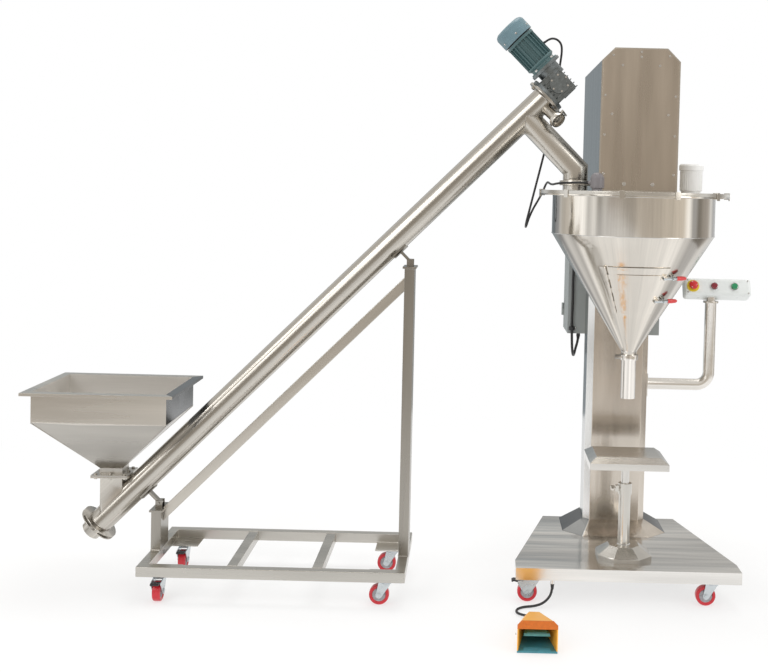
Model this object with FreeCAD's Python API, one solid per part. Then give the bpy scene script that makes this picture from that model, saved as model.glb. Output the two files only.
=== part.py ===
# Semi-automatic auger powder filler with its inclined screw feeder.
# The filler stands on a castered base pan: a column carries the head, and the head carries
# the powder hopper, its auger and the filling nozzle above a height-adjustable table.
# The feeder is a screw conveyor at 45 degrees on its own trolley. It lifts powder from a
# floor-level feed hopper and drops it through the chute into the powder hopper's lid.
#
# Working frame: the auger's axis is X = 0, Y = 0 and the floor is Z = 0, in millimetres.
# +X runs to the operator's right, +Y away from the operator. The finished assembly is
# moved so that the bottom centre of its bounding box is the origin.
import FreeCAD, Part

import math
import os

V = FreeCAD.Vector
X_AXIS = V(1, 0, 0)
Y_AXIS = V(0, 1, 0)
Z_AXIS = V(0, 0, 1)

# ---------------------------------------------------------------- driving dimensions (mm)
RUN_CLEARANCE = 0.3          # between a turning or sliding piece and its seat
SHEET = 3.0                  # folded sheet of pan, column, head and cabinet

# casters, the same on both machines
CASTER_HEIGHT = 108.0
WHEEL_DIAMETER = 80.0
WHEEL_WIDTH = 32.0
CASTER_TRAIL = 26.0          # swivel axis to axle
AXLE_DIAMETER = 12.0
FORK_GAP = 2.0               # wheel side to fork cheek
FORK_CHEEK = 3.0
CASTER_PLATE = (96.0, 84.0, 4.0)
CASTER_HEAD_DIAMETER = 56.0

# filler base and column
PAN_HEIGHT = 48.0
PAN_FRONT_Y = -195.0
PAN_STRAIGHT = 100.0         # front stretch of the pan that has parallel sides
PAN_BEHIND = 19.0            # behind the column
PAN_WIDTH_FRONT = 900.0
PAN_WIDTH_REAR = 600.0
PAN_SHIFT_X = -14.0          # casters sit a little left of the auger axis
COLUMN_WIDTH = 270.0
COLUMN_DEPTH = 188.0
COLUMN_GAP = 8.0             # hopper's wall to the column's face
COLUMN_CHAMFER = 28.0
SKIRT_HEIGHT = 50.0
SKIRT_FLARE = 92.0
FRONT_CASTER_SPREAD = 720.0
REAR_CASTER_SPREAD = 440.0
FRONT_CASTER_Y = -120.0
REAR_CASTER_INSET = 65.0     # from the pan's rear edge

# head
HEAD_WIDTH = 314.0
HEAD_FRONT_Y = -120.0
HEAD_BEHIND = 54.0           # behind the column
HEAD_BOTTOM = 1660.0
HEAD_TOP = 2232.0
HEAD_CHAMFER = 52.0
PANEL_THICK = 2.0
PANEL_MARGIN = 6.0
SCREW_HEAD = 11.0            # across the corners of a small cover screw
BOLT_HEAD = 17.0

# powder hopper
HOPPER_RADIUS = 330.0
HOPPER_WALL = 3.0
HOPPER_FLANGE_WIDTH = 55.0
HOPPER_FLANGE = 6.0
LID_THICK = 14.0
CYLINDER_HEIGHT = 155.0
CONE_TIP_RADIUS = 32.0
CONE_TIP_Z = 1005.0
CHORD_CLEARANCE = 8.0        # column face to the cut side of flange and lid
DOOR_HALF_ANGLE = 29.0
DOOR_BOTTOM = 1173.0
DOOR_TOP = 1364.0
DOOR_THICK = 3.0
DOOR_OVERLAP = 14.0          # door beyond its opening, along the cone
HINGE_BARREL = 10.0
HINGE_PIN = 4.0

# nozzle, auger and agitator
NOZZLE_DIAMETER = 60.3
NOZZLE_WALL = 2.0
NOZZLE_LENGTH = 160.0
NOZZLE_BOTTOM = 811.0
NOZZLE_CLAMP_HEIGHT = 20.0
AUGER_SHAFT = 22.0
AUGER_CLEARANCE = 1.6        # flight to nozzle wall
AUGER_PITCH = 46.0
AUGER_FLIGHT_TOP = 1135.0
AUGER_SHAFT_RISE = 93.0      # shaft's top above the head's underside
FLIGHT_THICK = 4.0
AGITATOR_HUB = 42.0
AGITATOR_BAR = 8.0
AGITATOR_GAP = 14.0          # agitator bar to hopper wall

# product table
TABLE_WIDTH = 320.0
TABLE_DEPTH = 250.0
TABLE_TOP = 586.0
TABLE_BEVEL = 30.0
TABLE_BEVEL_DROP = 22.0
TABLE_LIP = 26.0
TABLE_SHEET = 3.0
TABLE_PLATE = (120.0, 90.0)
STAND_FOOT = 220.0
STAND_FOOT_HEIGHT = 49.0
STAND_FOOT_LIP = 14.0
STAND_FOOT_TOP = 120.0
STAND_TUBE = 48.3
STAND_WALL = 3.0
STAND_TOP = 413.0
COLLAR_DIAMETER = 56.0
COLLAR_HEIGHT = 45.0
TABLE_ROD = 33.0
TABLE_ROD_INSERT = 190.0     # rod inside the stand at rest

# control arm and button box
ARM_DIAMETER = 50.8
ARM_Z = 802.0
ARM_REACH = 420.0
ARM_BEND = 57.0
ARM_TOP = 1172.0
ARM_SETBACK = 92.0           # column's face to the arm's axis
ARM_FLANGE = 100.0           # square plate on the column
ARM_CAP = 68.0
BOX_WIDTH = 295.0
BOX_HEIGHT = 80.0
BOX_DEPTH = 66.0
BOX_TILT = 25.0
BOX_SHIFT = 24.5             # box's middle to the right of its arm
BOX_RISE = 62.0              # box's middle above the arm's top
BOX_ROUND = 14.0
ESTOP_OFFSET = -112.0
STOP_OFFSET = -18.0
START_OFFSET = 72.0
BUTTON_STEM = 22.0
BUTTON_TRAVEL = 4.0

# electrical cabinet
CABINET_WIDTH = 420.0
CABINET_HEIGHT = 600.0
CABINET_DEPTH = 250.0
CABINET_BOTTOM = 1005.0
CABINET_DOOR = 22.0
CABINET_STANDOFF = 18.0
CABINET_HINGE = 11.0
CABINET_RAIL = 240.0

# foot pedal
PEDAL_X = -386.0
PEDAL_FRONT_Y = -650.0
PEDAL_LENGTH = 245.0
PEDAL_WIDTH = 146.0
PEDAL_TAIL_WIDTH = 70.0
PEDAL_HEIGHT = 117.0
PEDAL_TAIL_HEIGHT = 60.0
PEDAL_WALL = 4.0
PEDAL_PLATE = 8.0
TREADLE_TRAVEL = 8.0         # degrees
TREADLE_PIN_LENGTH = 120.0

# inclined screw feeder
SCREW_ANGLE = 45.0
FEED_TUBE = 101.6
FEED_WALL = 2.0
TAIL_HEIGHT = 237.45         # lower end of the tube's axis above the floor
FEED_FLANGE = 164.0
FEED_FLANGE_THICK = 10.0
BRANCH_TO_END = 116.0        # chute's axis to the upper flange, along the tube
CHUTE_RUN = 300.0
SPOUT_X = -240.0
ELBOW_Z = 1745.0
SPOUT_STUB = 30.0
SPOUT_RING = 20.0
FEED_SHAFT = 38.0
FEED_PITCH = 90.0
FEED_FLIGHT_CLEARANCE = 2.5
PORT_FROM_END = 36.0         # inspection port's axis to the tube's upper end
PORT_STUB = 42.0
PORT_REACH = 116.0           # tube's axis to the port's clamp ring
PORT_RING = 64.0
PORT_RING_HEIGHT = 18.0
TAIL_BEARING = 84.0
TAIL_LENGTH = 46.0
GEARBOX = (114.0, 100.0)     # along the motor's axis, across it in Y
GEARBOX_REACH = 40.0         # beyond the motor's axis, along the tube
GEARBOX_RIBS = 7
MOTOR_AXIS_OFFSET = 82.0     # upper flange to motor axis, along the tube
MOTOR_START = 92.0           # output axis to motor flange
MOTOR_BODY = 150.0
MOTOR_DIAMETER = 130.0
MOTOR_BELL = 30.0            # front end shield
MOTOR_FINS = 22
COWL_DIAMETER = 140.0
COWL_LENGTH = 66.0
COWL_GAP = 5.0

# feed hopper and its inlet
FEED_HOPPER_INSET = 61.8     # lower end of the tube to the hopper's middle, along X
FEED_HOPPER_RISE = 517.7     # rim above the tube's axis
FEED_RIM_WIDTH = 600.0
FEED_RIM_DEPTH = 510.0
FEED_BODY_WIDTH = 534.0
FEED_BODY_DEPTH = 434.0
FEED_BODY_HEIGHT = 123.0
FEED_HOPPER_WALL = 2.5
FEED_THROAT = 92.0
THROAT_RISE = 148.7          # bottom of the throat above the tube's axis
THROAT_HEIGHT = 30.0
INLET_PLATE = 150.0
INLET_PLATE_THICK = 6.0

# trolley
TROLLEY_TUBE = 40.0
TROLLEY_INSET = 231.8        # lower end of the tube to the trolley's end, along X
TROLLEY_LENGTH = 1053.0
TROLLEY_DEPTH = 540.0
TROLLEY_CROSS_SHARES = (0.3495, 0.6686)   # of its length, to the inner cross bars
TROLLEY_CASTER_INSET_X = 78.0
TROLLEY_CASTER_INSET_Y = 74.0
GUSSET_PLATE = 150.0
GUSSET_THICK = 5.0
POST_DEPTH = 120.0
SHORT_POST_DROP = 184.3      # tube axis to the top of the post, vertically
TALL_POST_DROP = 176.3
POST_CAP = 8.0
BRACE_DROP = 222.0           # brace axis below the tube axis, vertically
SADDLE_THICK = 5.0           # curved pad under the tube
SADDLE_LENGTH = 70.0
SADDLE_WIDTH = 64.0
LUG_WIDTH = 30.0             # flat bar from the pad to its pin
LUG_THICK = 10.0
LUG_EYE = 22.0
LUG_PIN = 10.0
LUG_PIN_HEIGHT = 18.0

# ---------------------------------------------------------------- derived places
PAN_TOP = CASTER_HEIGHT + PAN_HEIGHT
HOPPER_FLANGE_RADIUS = HOPPER_RADIUS + HOPPER_FLANGE_WIDTH
COLUMN_FRONT_Y = HOPPER_RADIUS + COLUMN_GAP
COLUMN_REAR_Y = COLUMN_FRONT_Y + COLUMN_DEPTH
PAN_REAR_Y = COLUMN_REAR_Y + PAN_BEHIND
REAR_CASTER_Y = PAN_REAR_Y - REAR_CASTER_INSET
HEAD_REAR_Y = COLUMN_REAR_Y + HEAD_BEHIND
ARM_Y = COLUMN_FRONT_Y + ARM_SETBACK
BOX_CENTRE = V(ARM_REACH + BOX_SHIFT, ARM_Y, ARM_TOP + BOX_RISE)
CHORD_Y = COLUMN_FRONT_Y - CHORD_CLEARANCE
LID_BOTTOM = HEAD_BOTTOM - LID_THICK
HOPPER_TOP = LID_BOTTOM
CONE_TOP = HOPPER_TOP - HOPPER_FLANGE - CYLINDER_HEIGHT
NOZZLE_TOP = NOZZLE_BOTTOM + NOZZLE_LENGTH
TROLLEY_TOP = CASTER_HEIGHT + TROLLEY_TUBE
CABINET_FRONT_Y = COLUMN_REAR_Y + CABINET_STANDOFF
CABINET_BODY_REAR_Y = CABINET_FRONT_Y + CABINET_DEPTH - CABINET_DOOR

SLOPE = math.radians(SCREW_ANGLE)
TUBE_DIR = V(math.cos(SLOPE), 0, math.sin(SLOPE))
MOTOR_DIR = V(-math.sin(SLOPE), 0, math.cos(SLOPE))
BRANCH = V(SPOUT_X, 0, ELBOW_Z) + V(-1, 0, 1) * (CHUTE_RUN / math.sqrt(2))
TUBE_END = BRANCH + TUBE_DIR * BRANCH_TO_END
FEED_LENGTH = (TUBE_END.z - TAIL_HEIGHT) / TUBE_DIR.z
TUBE_START = TUBE_END - TUBE_DIR * FEED_LENGTH
MOTOR_CENTRE = TUBE_END + TUBE_DIR * MOTOR_AXIS_OFFSET


def tube_axis_z(x):
    """Height of the feeder tube's axis above the floor at x."""
    return BRANCH.z + (x - BRANCH.x) * math.tan(SLOPE)


FEED_HOPPER_X = TUBE_START.x + FEED_HOPPER_INSET
FEED_HOPPER_TOP = tube_axis_z(FEED_HOPPER_X) + FEED_HOPPER_RISE
THROAT_BOTTOM = tube_axis_z(FEED_HOPPER_X) + THROAT_RISE
THROAT_TOP = THROAT_BOTTOM + THROAT_HEIGHT
TROLLEY_LEFT = TUBE_START.x + TROLLEY_INSET
TROLLEY_RIGHT = TROLLEY_LEFT + TROLLEY_LENGTH
TROLLEY_CROSS = [TROLLEY_LEFT + share * TROLLEY_LENGTH for share in TROLLEY_CROSS_SHARES]
SHORT_POST_X = TROLLEY_LEFT + TROLLEY_TUBE / 2
TALL_POST_X = TROLLEY_RIGHT - TROLLEY_TUBE / 2
SHORT_POST_TOP = tube_axis_z(SHORT_POST_X) - SHORT_POST_DROP
TALL_POST_TOP = tube_axis_z(TALL_POST_X) - TALL_POST_DROP

# ---------------------------------------------------------------- shape helpers
def block(x0, x1, y0, y1, z0, z1):
    return Part.makeBox(x1 - x0, y1 - y0, z1 - z0, V(x0, y0, z0))


def rod(base, axis, diameter, length):
    return Part.makeCylinder(diameter / 2, length, base, axis)


def pipe(base, axis, outer, inner, length):
    return rod(base, axis, outer, length).cut(rod(base, axis, inner, length))


def prism(points, direction):
    return Part.Face(Part.makePolygon(points + points[:1])).extrude(direction)


def fused(shapes):
    return shapes[0].multiFuse(shapes[1:]).removeSplitter()


def turned(outline, base=V(0, 0, 0), axis=Z_AXIS):
    """Solid of revolution: outline is a closed list of (radius, height)."""
    points = [V(r, 0, h) for r, h in outline]
    body = Part.Face(Part.makePolygon(points + points[:1])).revolve(V(0, 0, 0), Z_AXIS, 360)
    return moved(body, base, axis)


def moved(shape, origin, z_axis=Z_AXIS, y_axis=None):
    """Copy of a shape built at the origin, placed with its Z along z_axis."""
    copy = shape.copy()
    if y_axis is None:
        turn = FreeCAD.Rotation(Z_AXIS, z_axis)
    else:
        turn = FreeCAD.Rotation(y_axis.cross(z_axis), y_axis, z_axis, "ZYX")
    copy.Placement = FreeCAD.Placement(origin, turn).multiply(copy.Placement)
    return copy


def chamfered(width, depth, chamfer, z=0.0):
    """Corner points of a rectangle about the origin with cut corners."""
    w, d, c = width / 2, depth / 2, chamfer
    return [V(-w + c, -d, z), V(w - c, -d, z), V(w, -d + c, z), V(w, d - c, z),
            V(w - c, d, z), V(-w + c, d, z), V(-w, d - c, z), V(-w, -d + c, z)]


def rectangle(width, depth, z):
    return [V(-width / 2, -depth / 2, z), V(width / 2, -depth / 2, z),
            V(width / 2, depth / 2, z), V(-width / 2, depth / 2, z)]


def ring_wire(points):
    return Part.makePolygon(points + points[:1])


def loft(lower, upper):
    """Solid with flat sides between two outlines of equally many points."""
    return Part.makeLoft([ring_wire(lower), ring_wire(upper)], True, True)


def hexagon(base, axis, across_corners, height):
    points = [V(math.cos(math.radians(a)), math.sin(math.radians(a)), 0) * (across_corners / 2)
              for a in range(0, 360, 60)]
    return moved(prism(points, V(0, 0, height)), base, axis)


def flight(inner, outer, pitch, bottom, top, thickness, steps=12):
    """Helical flight about Z, made of short flat facets."""
    inner = inner / math.cos(math.pi / steps) + 0.05   # flats stay just outside the shaft
    count = int(round((top - bottom) / pitch * steps))
    faces = []
    rows = []
    for i in range(count + 1):
        turn = 2 * math.pi * i / steps
        z = bottom + (top - bottom - thickness) * i / count
        way = V(math.cos(turn), math.sin(turn), 0)
        rows.append([way * inner + V(0, 0, z), way * outer + V(0, 0, z),
                     way * outer + V(0, 0, z + thickness), way * inner + V(0, 0, z + thickness)])
    for a, b in zip(rows, rows[1:]):
        for j in range(4):
            k = (j + 1) % 4
            faces.append(Part.Face(Part.makePolygon([a[j], a[k], b[k], a[j]])))
            faces.append(Part.Face(Part.makePolygon([a[j], b[k], b[j], a[j]])))
    for row in (rows[0], rows[-1]):
        faces.append(Part.Face(Part.makePolygon(row + row[:1])))
    shell = Part.makeShell(faces)
    shell.sewShape()
    solid = Part.Solid(shell)
    if solid.Volume < 0:
        solid.reverse()
    return solid


# ---------------------------------------------------------------- filler: base and column
def base_pan():
    half_front, half_rear = PAN_WIDTH_FRONT / 2, PAN_WIDTH_REAR / 2

    def outline(inset, z):
        front, rear = PAN_FRONT_Y + inset, PAN_REAR_Y - inset
        knee = PAN_FRONT_Y + PAN_STRAIGHT
        f, r = half_front - inset, half_rear - inset
        return [V(-f, front, z), V(f, front, z), V(f, knee, z), V(r, rear, z),
                V(-r, rear, z), V(-f, knee, z)]

    outer = prism(outline(0, CASTER_HEIGHT), V(0, 0, PAN_HEIGHT))
    inner = prism(outline(SHEET, CASTER_HEIGHT + SHEET), V(0, 0, PAN_HEIGHT - 2 * SHEET))
    return outer.cut(inner)


def column():
    middle = V(0, COLUMN_FRONT_Y + COLUMN_DEPTH / 2, PAN_TOP)
    height = HEAD_BOTTOM - PAN_TOP
    outer = prism(chamfered(COLUMN_WIDTH, COLUMN_DEPTH, COLUMN_CHAMFER), V(0, 0, height))
    inner_chamfer = COLUMN_CHAMFER - SHEET * (2 - math.sqrt(2))
    inner = prism(chamfered(COLUMN_WIDTH - 2 * SHEET, COLUMN_DEPTH - 2 * SHEET, inner_chamfer),
                  V(0, 0, height))
    return moved(outer.cut(inner), middle)


def column_skirt():
    """Flared eight-sided foot, flush with the column's rear face."""
    rear_flare = SKIRT_FLARE * 2
    corner = COLUMN_CHAMFER + SKIRT_FLARE * (2 - math.sqrt(2))
    lower = chamfered(COLUMN_WIDTH + 2 * SKIRT_FLARE, COLUMN_DEPTH + rear_flare, corner, 0)
    upper = chamfered(COLUMN_WIDTH, COLUMN_DEPTH, COLUMN_CHAMFER, SKIRT_HEIGHT)
    cone = loft(lower, upper)
    core = prism(chamfered(COLUMN_WIDTH, COLUMN_DEPTH, COLUMN_CHAMFER), V(0, 0, SKIRT_HEIGHT))
    reach = COLUMN_WIDTH + SKIRT_FLARE
    behind = block(-reach, reach, COLUMN_DEPTH / 2, COLUMN_DEPTH / 2 + rear_flare, 0, SKIRT_HEIGHT)
    skirt = cone.cut(core).cut(behind)
    return moved(skirt, V(0, COLUMN_FRONT_Y + COLUMN_DEPTH / 2, PAN_TOP))


# ---------------------------------------------------------------- filler: head
def head_outline(inset, y):
    w, c = HEAD_WIDTH / 2 - inset, HEAD_CHAMFER - inset * (2 - math.sqrt(2))
    bottom, top = HEAD_BOTTOM + inset, HEAD_TOP - inset
    return [V(-w, y, bottom), V(w, y, bottom), V(w, y, top - c), V(w - c, y, top),
            V(-w + c, y, top), V(-w, y, top - c)]


def head_housing():
    depth = HEAD_REAR_Y - HEAD_FRONT_Y
    outer = prism(head_outline(0, HEAD_FRONT_Y), V(0, depth, 0))
    inner = prism(head_outline(SHEET, HEAD_FRONT_Y + SHEET), V(0, depth - 2 * SHEET, 0))
    drive_bore = rod(V(0, 0, HEAD_BOTTOM - 1), Z_AXIS, AGITATOR_HUB + 2 * RUN_CLEARANCE, SHEET + 2)
    return outer.cut(inner).cut(drive_bore)


def head_front_panel():
    front = HEAD_FRONT_Y - PANEL_THICK
    return prism(head_outline(PANEL_MARGIN, front), V(0, PANEL_THICK, 0))


def head_screws():
    front = HEAD_FRONT_Y - PANEL_THICK
    edge = HEAD_WIDTH / 2 - 17
    inner = HEAD_WIDTH / 2 - 45
    middle = (HEAD_BOTTOM + HEAD_TOP) / 2
    tall = HEAD_TOP - HEAD_BOTTOM
    small = [(s * edge, middle + share * tall) for s in (-1, 1)
             for share in (-0.378, -0.107, 0.168)]
    small += [(s * inner, middle + share * tall) for s in (-1, 1) for share in (0.038, 0.446)]
    small += [(s * 74, middle + 0.378 * tall) for s in (-1, 1)]
    small += [(0, HEAD_TOP - 16), (0, HEAD_TOP - 36)]
    large = [(s * 57, HEAD_BOTTOM + 30) for s in (-1, 1)]
    heads = [hexagon(V(x, front, z), -Y_AXIS, SCREW_HEAD, 3) for x, z in small]
    heads += [hexagon(V(x, front, z), -Y_AXIS, BOLT_HEAD, 6) for x, z in large]
    return heads


# ---------------------------------------------------------------- filler: powder hopper
CONE_SLOPE = (HOPPER_RADIUS - CONE_TIP_RADIUS) / (CONE_TOP - CONE_TIP_Z)


def cone_radius(z):
    """Outer radius of the hopper's cone at height z."""
    return CONE_TIP_RADIUS + (z - CONE_TIP_Z) * CONE_SLOPE


def cone_patch(inner_offset, thickness, bottom, top, start, end):
    """Piece of a shell on the cone, between two angles in degrees about Z."""
    low, high = cone_radius(bottom) + inner_offset, cone_radius(top) + inner_offset
    outline = [V(low, 0, bottom), V(low + thickness, 0, bottom),
               V(high + thickness, 0, top), V(high, 0, top)]
    face = Part.Face(Part.makePolygon(outline + outline[:1]))
    face.rotate(V(0, 0, 0), Z_AXIS, start)
    return face.revolve(V(0, 0, 0), Z_AXIS, end - start)


def behind_chord(bottom, top):
    reach = HOPPER_FLANGE_RADIUS + 20
    return block(-reach, reach, CHORD_Y, reach, bottom, top)


DOOR_MIDDLE = -90.0                                # the door faces the operator
DOOR_STAND_OFF = 1.0                               # door's inner face to the cone
HINGE_ANGLE = DOOR_MIDDLE - DOOR_HALF_ANGLE - 2.5
HINGE_OUT = HINGE_BARREL / 2 + 1.0                 # hinge axis to the cone's surface, level
DOOR_ANGLES = (DOOR_MIDDLE - DOOR_HALF_ANGLE, DOOR_MIDDLE + DOOR_HALF_ANGLE)


def on_cone(angle, z, out):
    """Point at height z, 'out' beyond the cone's surface at an angle about Z."""
    way = V(math.cos(math.radians(angle)), math.sin(math.radians(angle)), 0)
    return way * (cone_radius(z) + out) + V(0, 0, z)


def along_cone(angle):
    """Unit vector up the cone's generator at an angle about Z."""
    return (on_cone(angle, CONE_TOP, 0) - on_cone(angle, CONE_TIP_Z, 0)).normalize()


HINGE_LOW = on_cone(HINGE_ANGLE, DOOR_BOTTOM, HINGE_OUT)
HINGE_HIGH = on_cone(HINGE_ANGLE, DOOR_TOP, HINGE_OUT)
HINGE_DIR = along_cone(HINGE_ANGLE)
HINGE_LENGTH = (HINGE_HIGH - HINGE_LOW).Length
KNUCKLES = 7
KNUCKLE = HINGE_LENGTH / KNUCKLES
KNUCKLE_GAP = 0.4


def knuckle(index, bore):
    base = HINGE_LOW + HINGE_DIR * (index * KNUCKLE + KNUCKLE_GAP / 2)
    return pipe(base, HINGE_DIR, HINGE_BARREL, bore, KNUCKLE - KNUCKLE_GAP)


LATCH_ANGLE = DOOR_MIDDLE + DOOR_HALF_ANGLE - 4.0
LATCH_HEIGHTS = (DOOR_TOP - 34.0, DOOR_BOTTOM + 62.0)
LATCH_PIN = 5.0
LATCH_PIN_OUT = 12.0         # pin above the latch's frame
LATCH_BAR = 8.0
LATCH_EAR = 3.0
LATCH_PAD_AT = 34.0          # pad from the pin, away from the door
LATCH_PAD = 12.0
STRIKE_TOP = 0.6             # face that the pad rests over


def latch_frame(z):
    """Origin and axes of a latch: tangent away from the door, outward, up the cone."""
    up = along_cone(LATCH_ANGLE)
    tangent = V(-math.sin(math.radians(LATCH_ANGLE)), math.cos(math.radians(LATCH_ANGLE)), 0)
    outward = up.cross(tangent) * -1
    if outward.dot(on_cone(LATCH_ANGLE, z, 1) - on_cone(LATCH_ANGLE, z, 0)) < 0:
        outward = outward * -1
    return on_cone(LATCH_ANGLE, z, 0) + outward * 1.0, tangent, outward, up


def in_latch(shape, z):
    """Place a shape built with X along the tangent, Z outward, Y across the latch."""
    origin, tangent, outward, up = latch_frame(z)
    copy = shape.copy()
    turn = FreeCAD.Rotation(tangent, outward.cross(tangent), outward, "ZXY")
    copy.Placement = FreeCAD.Placement(origin, turn).multiply(copy.Placement)
    return copy


def latch_strike(z):
    """Block welded to the cone, just beyond the door's edge."""
    wide = LATCH_PAD + 6
    outline = [V(25, -wide / 2, STRIKE_TOP), V(43, -wide / 2, STRIKE_TOP),
               V(43, -wide / 2, -5.8), V(25, -wide / 2, -3.4)]
    return in_latch(prism(outline, V(0, wide, 0)), z)


def latch_bracket(z):
    """Foot, ears and pin that carry the lever on the door."""
    half = LATCH_BAR / 2 + 0.6
    foot = block(-13, 11, -13, 13, 0.8, 4.5)
    ears = [prism([V(-11, y, 3), V(9, y, 3), V(6, y, LATCH_PIN_OUT + 5),
                   V(-6, y, LATCH_PIN_OUT + 5)], V(0, LATCH_EAR, 0))
            for y in (-half - LATCH_EAR, half)]
    pin = rod(V(0, -half - LATCH_EAR - 2, LATCH_PIN_OUT), Y_AXIS, LATCH_PIN,
              2 * (half + LATCH_EAR + 2))
    return in_latch(fused([foot, pin] + ears), z)


def latch_lever(z):
    pad_bottom = STRIKE_TOP + RUN_CLEARANCE
    half = LATCH_BAR / 2
    bar = block(0, 60, -half, half, LATCH_PIN_OUT - 4.5, LATCH_PIN_OUT + 4.5)
    eye = rod(V(0, -half, LATCH_PIN_OUT), Y_AXIS, 13, LATCH_BAR)
    spindle = rod(V(LATCH_PAD_AT, 0, pad_bottom), Z_AXIS, 7, LATCH_PIN_OUT + 11 - pad_bottom)
    pad = rod(V(LATCH_PAD_AT, 0, pad_bottom), Z_AXIS, LATCH_PAD, 5)
    grip = turned([(0, 0), (6.5, 0), (8.5, 4), (9, 22), (7.5, 40), (4, 46), (0, 46)],
                  V(52, 0, LATCH_PIN_OUT), X_AXIS)
    body = fused([bar, eye, spindle, pad, grip])
    bore = rod(V(0, -20, LATCH_PIN_OUT), Y_AXIS, LATCH_PIN + 2 * RUN_CLEARANCE, 40)
    return in_latch(body.cut(bore), z)


def powder_hopper():
    """Upright upper part of the hopper with its flange, cut flat beside the column."""
    wall = HOPPER_WALL
    flange_bottom = HOPPER_TOP - HOPPER_FLANGE
    outline = [(HOPPER_RADIUS, CONE_TOP), (HOPPER_RADIUS, flange_bottom),
               (HOPPER_FLANGE_RADIUS, flange_bottom), (HOPPER_FLANGE_RADIUS, HOPPER_TOP),
               (HOPPER_RADIUS - wall, HOPPER_TOP), (HOPPER_RADIUS - wall, CONE_TOP)]
    return turned(outline).cut(behind_chord(flange_bottom - 1, HOPPER_TOP + 1))


def hopper_cone():
    """Cone with the door's opening, ending in the neck that takes the nozzle."""
    wall = HOPPER_WALL
    slant = wall * math.sqrt(1 + CONE_SLOPE ** 2)   # wall measured level through the cone
    outline = [(CONE_TIP_RADIUS, CONE_TIP_Z), (HOPPER_RADIUS, CONE_TOP),
               (HOPPER_RADIUS - slant, CONE_TOP), (CONE_TIP_RADIUS - slant, CONE_TIP_Z)]
    trim = math.degrees(DOOR_OVERLAP / cone_radius(DOOR_TOP))
    opening = cone_patch(-4 * wall, 8 * wall, DOOR_BOTTOM + DOOR_OVERLAP, DOOR_TOP - DOOR_OVERLAP,
                         DOOR_ANGLES[0] + trim, DOOR_ANGLES[1] - trim)
    neck = pipe(V(0, 0, NOZZLE_TOP + NOZZLE_CLAMP_HEIGHT), Z_AXIS, 2 * CONE_TIP_RADIUS,
                NOZZLE_DIAMETER - 2 * NOZZLE_WALL,
                CONE_TIP_Z - NOZZLE_TOP - NOZZLE_CLAMP_HEIGHT)
    return fused([turned(outline).cut(opening), neck])


def door_hinge():
    """Hinge leaf welded to the cone, with its pin and every other knuckle."""
    leaf = cone_patch(0, 2.5, DOOR_BOTTOM, DOOR_TOP, HINGE_ANGLE - 7, HINGE_ANGLE + 0.4)
    knuckles = [knuckle(i, HINGE_PIN) for i in range(0, KNUCKLES, 2)]
    pin = rod(HINGE_LOW, HINGE_DIR, HINGE_PIN, HINGE_LENGTH)
    gaps = [rod(HINGE_LOW + HINGE_DIR * (i * KNUCKLE), HINGE_DIR, HINGE_BARREL + 1.2, KNUCKLE)
            for i in range(1, KNUCKLES, 2)]
    for gap in gaps:
        leaf = leaf.cut(gap)
    leaf = leaf.cut(rod(HINGE_LOW, HINGE_DIR, HINGE_BARREL - 1, HINGE_LENGTH))
    return fused([leaf, pin] + knuckles)


def hopper_door():
    panel = cone_patch(DOOR_STAND_OFF, DOOR_THICK, DOOR_BOTTOM, DOOR_TOP, *DOOR_ANGLES)
    raised = cone_patch(DOOR_STAND_OFF + DOOR_THICK, 3, DOOR_BOTTOM + 30, DOOR_TOP - 30,
                        DOOR_ANGLES[0] + 8, DOOR_ANGLES[1] - 8)
    tongues = []
    for i in range(1, KNUCKLES, 2):
        low = DOOR_BOTTOM + (DOOR_TOP - DOOR_BOTTOM) * (i + 0.14) / KNUCKLES
        high = DOOR_BOTTOM + (DOOR_TOP - DOOR_BOTTOM) * (i + 0.86) / KNUCKLES
        tongue = cone_patch(DOOR_STAND_OFF, DOOR_THICK, low, high, HINGE_ANGLE, DOOR_ANGLES[0])
        bore = rod(HINGE_LOW, HINGE_DIR, HINGE_BARREL - 1, HINGE_LENGTH)
        tongues += [tongue.cut(bore), knuckle(i, HINGE_PIN + 2 * RUN_CLEARANCE)]
    return fused([panel, raised] + tongues + [latch_bracket(z) for z in LATCH_HEIGHTS])


def hopper_lid():
    disc = rod(V(0, 0, LID_BOTTOM), Z_AXIS, 2 * HOPPER_FLANGE_RADIUS, LID_THICK)
    disc = disc.cut(behind_chord(LID_BOTTOM - 1, HEAD_BOTTOM + 1))
    drive_bore = rod(V(0, 0, LID_BOTTOM - 1), Z_AXIS, AGITATOR_HUB + 2 * RUN_CLEARANCE,
                     LID_THICK + 2)
    spout_bore = rod(V(SPOUT_X, 0, LID_BOTTOM - 1), Z_AXIS, FEED_TUBE - 2 * FEED_WALL,
                     LID_THICK + 2)
    stub = pipe(V(SPOUT_X, 0, HEAD_BOTTOM), Z_AXIS, FEED_TUBE, FEED_TUBE - 2 * FEED_WALL,
                SPOUT_STUB)
    return fused([disc.cut(drive_bore).cut(spout_bore), stub])


def lid_clips():
    """Folded clips that hold the lid to the hopper's flange."""
    clips = []
    for angle in (-140, -104, -72, -40, -5, 185):
        clip = fused([block(-18, 3, -11, 11, LID_THICK, LID_THICK + 3),
                      block(0, 3, -11, 11, -HOPPER_FLANGE - 8, LID_THICK),
                      block(-18, 3, -11, 11, -HOPPER_FLANGE - 3, -HOPPER_FLANGE)])
        clip.translate(V(HOPPER_FLANGE_RADIUS, 0, LID_BOTTOM))
        clip.rotate(V(0, 0, 0), Z_AXIS, angle)
        clips.append(clip)
    return clips


LEVEL_SENSOR_AT = (-166.0, -158.0)
VENT_FILTER_AT = (247.0, 70.0)
FILTER_DIAMETER = 100.0
FILTER_HEIGHT = 120.0


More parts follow.
